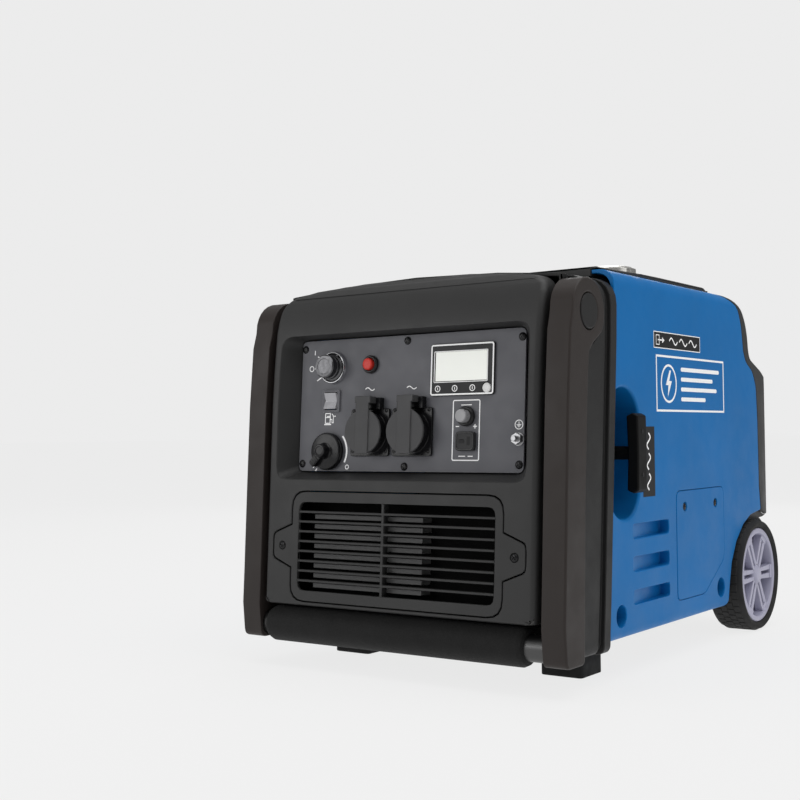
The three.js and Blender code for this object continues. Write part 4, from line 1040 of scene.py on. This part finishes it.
# ---- Fuel cap, starter handle, exhaust ---------------------------------------------------
def fuel_cap():
    """A notched cap with a dished crown."""
    low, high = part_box("fuel_cap")
    centre = (low + high) / 2
    upward = Matrix.Rotation(-math.pi / 2, 4, "X") @ Matrix.Scale(MM, 4)
    place = Matrix.Translation((centre.x, centre.y, low.z)) @ upward
    tall = (high.z - low.z) / MM
    r, notch, teeth = (high.x - low.x) / 2 / MM, 30.6, 8
    outline = []
    for i in range(teeth):
        a = i * 360 / teeth
        outline += arc_points(0, 0, r, a - 14.5, a + 14.5, 6)
        outline += arc_points(0, 0, notch, a + 18.5, a + 360 / teeth - 18.5, 4)
    body = prism([outline], -tall + 3.2, -3.0, soft=0.9)
    crown = turned([(0, -tall), (19, -tall + 0.1), (21, -tall + 1.0), (23, -tall + 1.1),
                    (26, -tall + 0.5), (28.6, -tall + 1.2), (30.2, -tall + 3.4),
                    (30.2, -tall + 6), (0, -tall + 6)], 72)
    skirt = turned([(29.2, 0), (31.6, 0), (32.2, -0.6), (32.2, -5), (29.2, -5), (29.2, 0)], 72)
    stand_in("fuel_cap", [body, crown, skirt], place)


def pull_starter():
    """The pull handle, with black discs in its two dimples and a dark sheet on the floor of its
    well, both painted shade.
    """
    refined("recoil_handle", 1.6, steps=3, material=PULL_BLACK)
    low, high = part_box("recoil_handle")
    face = facing(high.x, (low.y + high.y) / 2, (low.z + high.z) / 2, turn=90)
    # Black discs in the two dimples: painted shade.
    holes = [turned([(0, -0.05), (2.2, -0.05), (2.2, 0.6), (0, 0.6)], 24, 0, dz)
             for dz in (-22, 22)]
    fitted("recoil_handle_dimple_painted_shade", holes, face, "recoil_handle", "dark_plastic", BLACK_PRINT_AND_SHADE_INK)
    # A dark blue sheet on the well's floor: painted shade in the recess.
    y, half, low_z, high_z = part_y(143.5), 34.5, 195.5, 256.5
    floor = (arc_points(y, high_z, half, 0, 180, 16) + arc_points(y, low_z, half, 180, 360, 16))
    hole = disc(part_y(160), 226, 5.5, 24)
    plate = prism([floor, hole], 28.6, 29.8)
    fitted("recoil_well_painted_shade_sheet", [plate], RIGHT, "body", "blue_plastic", WELL_PAINTED_SHADE_BLUE)


def starter_rope():
    """Braided rope that the handle draws out over the pulley."""
    low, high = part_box("recoil_rope")
    r = (high.z - low.z) / 2
    start = Vector((low.x, (low.y + high.y) / 2, (low.z + high.z) / 2))
    end = Vector((high.x, start.y, start.z))
    count, sides, pitch = 150, 16, 0.011
    mesh = bpy.data.meshes.new("rope")
    bm = bmesh.new()
    rings = []
    for i in range(count + 1):
        x = start.x + (end.x - start.x) * i / count
        ring = []
        for k in range(sides):
            a = 2 * math.pi * k / sides
            swell = 0.93 + 0.07 * abs(math.sin(4 * a + 2 * math.pi * (x - start.x) / pitch))
            ring.append(bm.verts.new((x, start.y + swell * r * math.cos(a),
                                      start.z + swell * r * math.sin(a))))
        rings.append(ring)
    for near, far in zip(rings, rings[1:]):
        for k in range(sides):
            bm.faces.new((near[k], near[(k + 1) % sides], far[(k + 1) % sides], far[k]))
    bm.faces.new(rings[0][::-1])
    bm.faces.new(rings[-1])
    bmesh.ops.recalc_face_normals(bm, faces=bm.faces)
    bm.to_mesh(mesh)
    bm.free()
    rope = finished("starter_rope", mesh, "recoil_handle", "rope", angle=80)
    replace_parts(rope, "recoil_rope")


def exhaust():
    """A pipe with a grooved flange."""
    low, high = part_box("exhaust_outlet")
    back = facing(low.x + (high.x - low.x) / 2, high.y, (low.z + high.z) / 2, turn=180)
    deep = (high.y - low.y) / MM
    pipe = turned([(15, deep), (20, deep), (20, 6), (31.5, 6), (31.5, 1.4), (30.2, 0), (26, 0),
                   (24.5, 1.2), (17.5, 1.2), (16.4, 0.2), (15, 0.8), (15, deep)], 64)
    stand_in("exhaust_outlet", [pipe], back)


def remaining_nodes():
    """Every CAD node that is still shown as it is gets its finish."""
    for name, node in frame["nodes"].items():
        node.data.materials.clear()
        node.data.materials.append(LOOKS[SLOT_OF[name]])


remaining_nodes()
covers()
grille()
handle()
wheels()
control_panel()
side_marks()
fuel_cap()
pull_starter()
starter_rope()
exhaust()
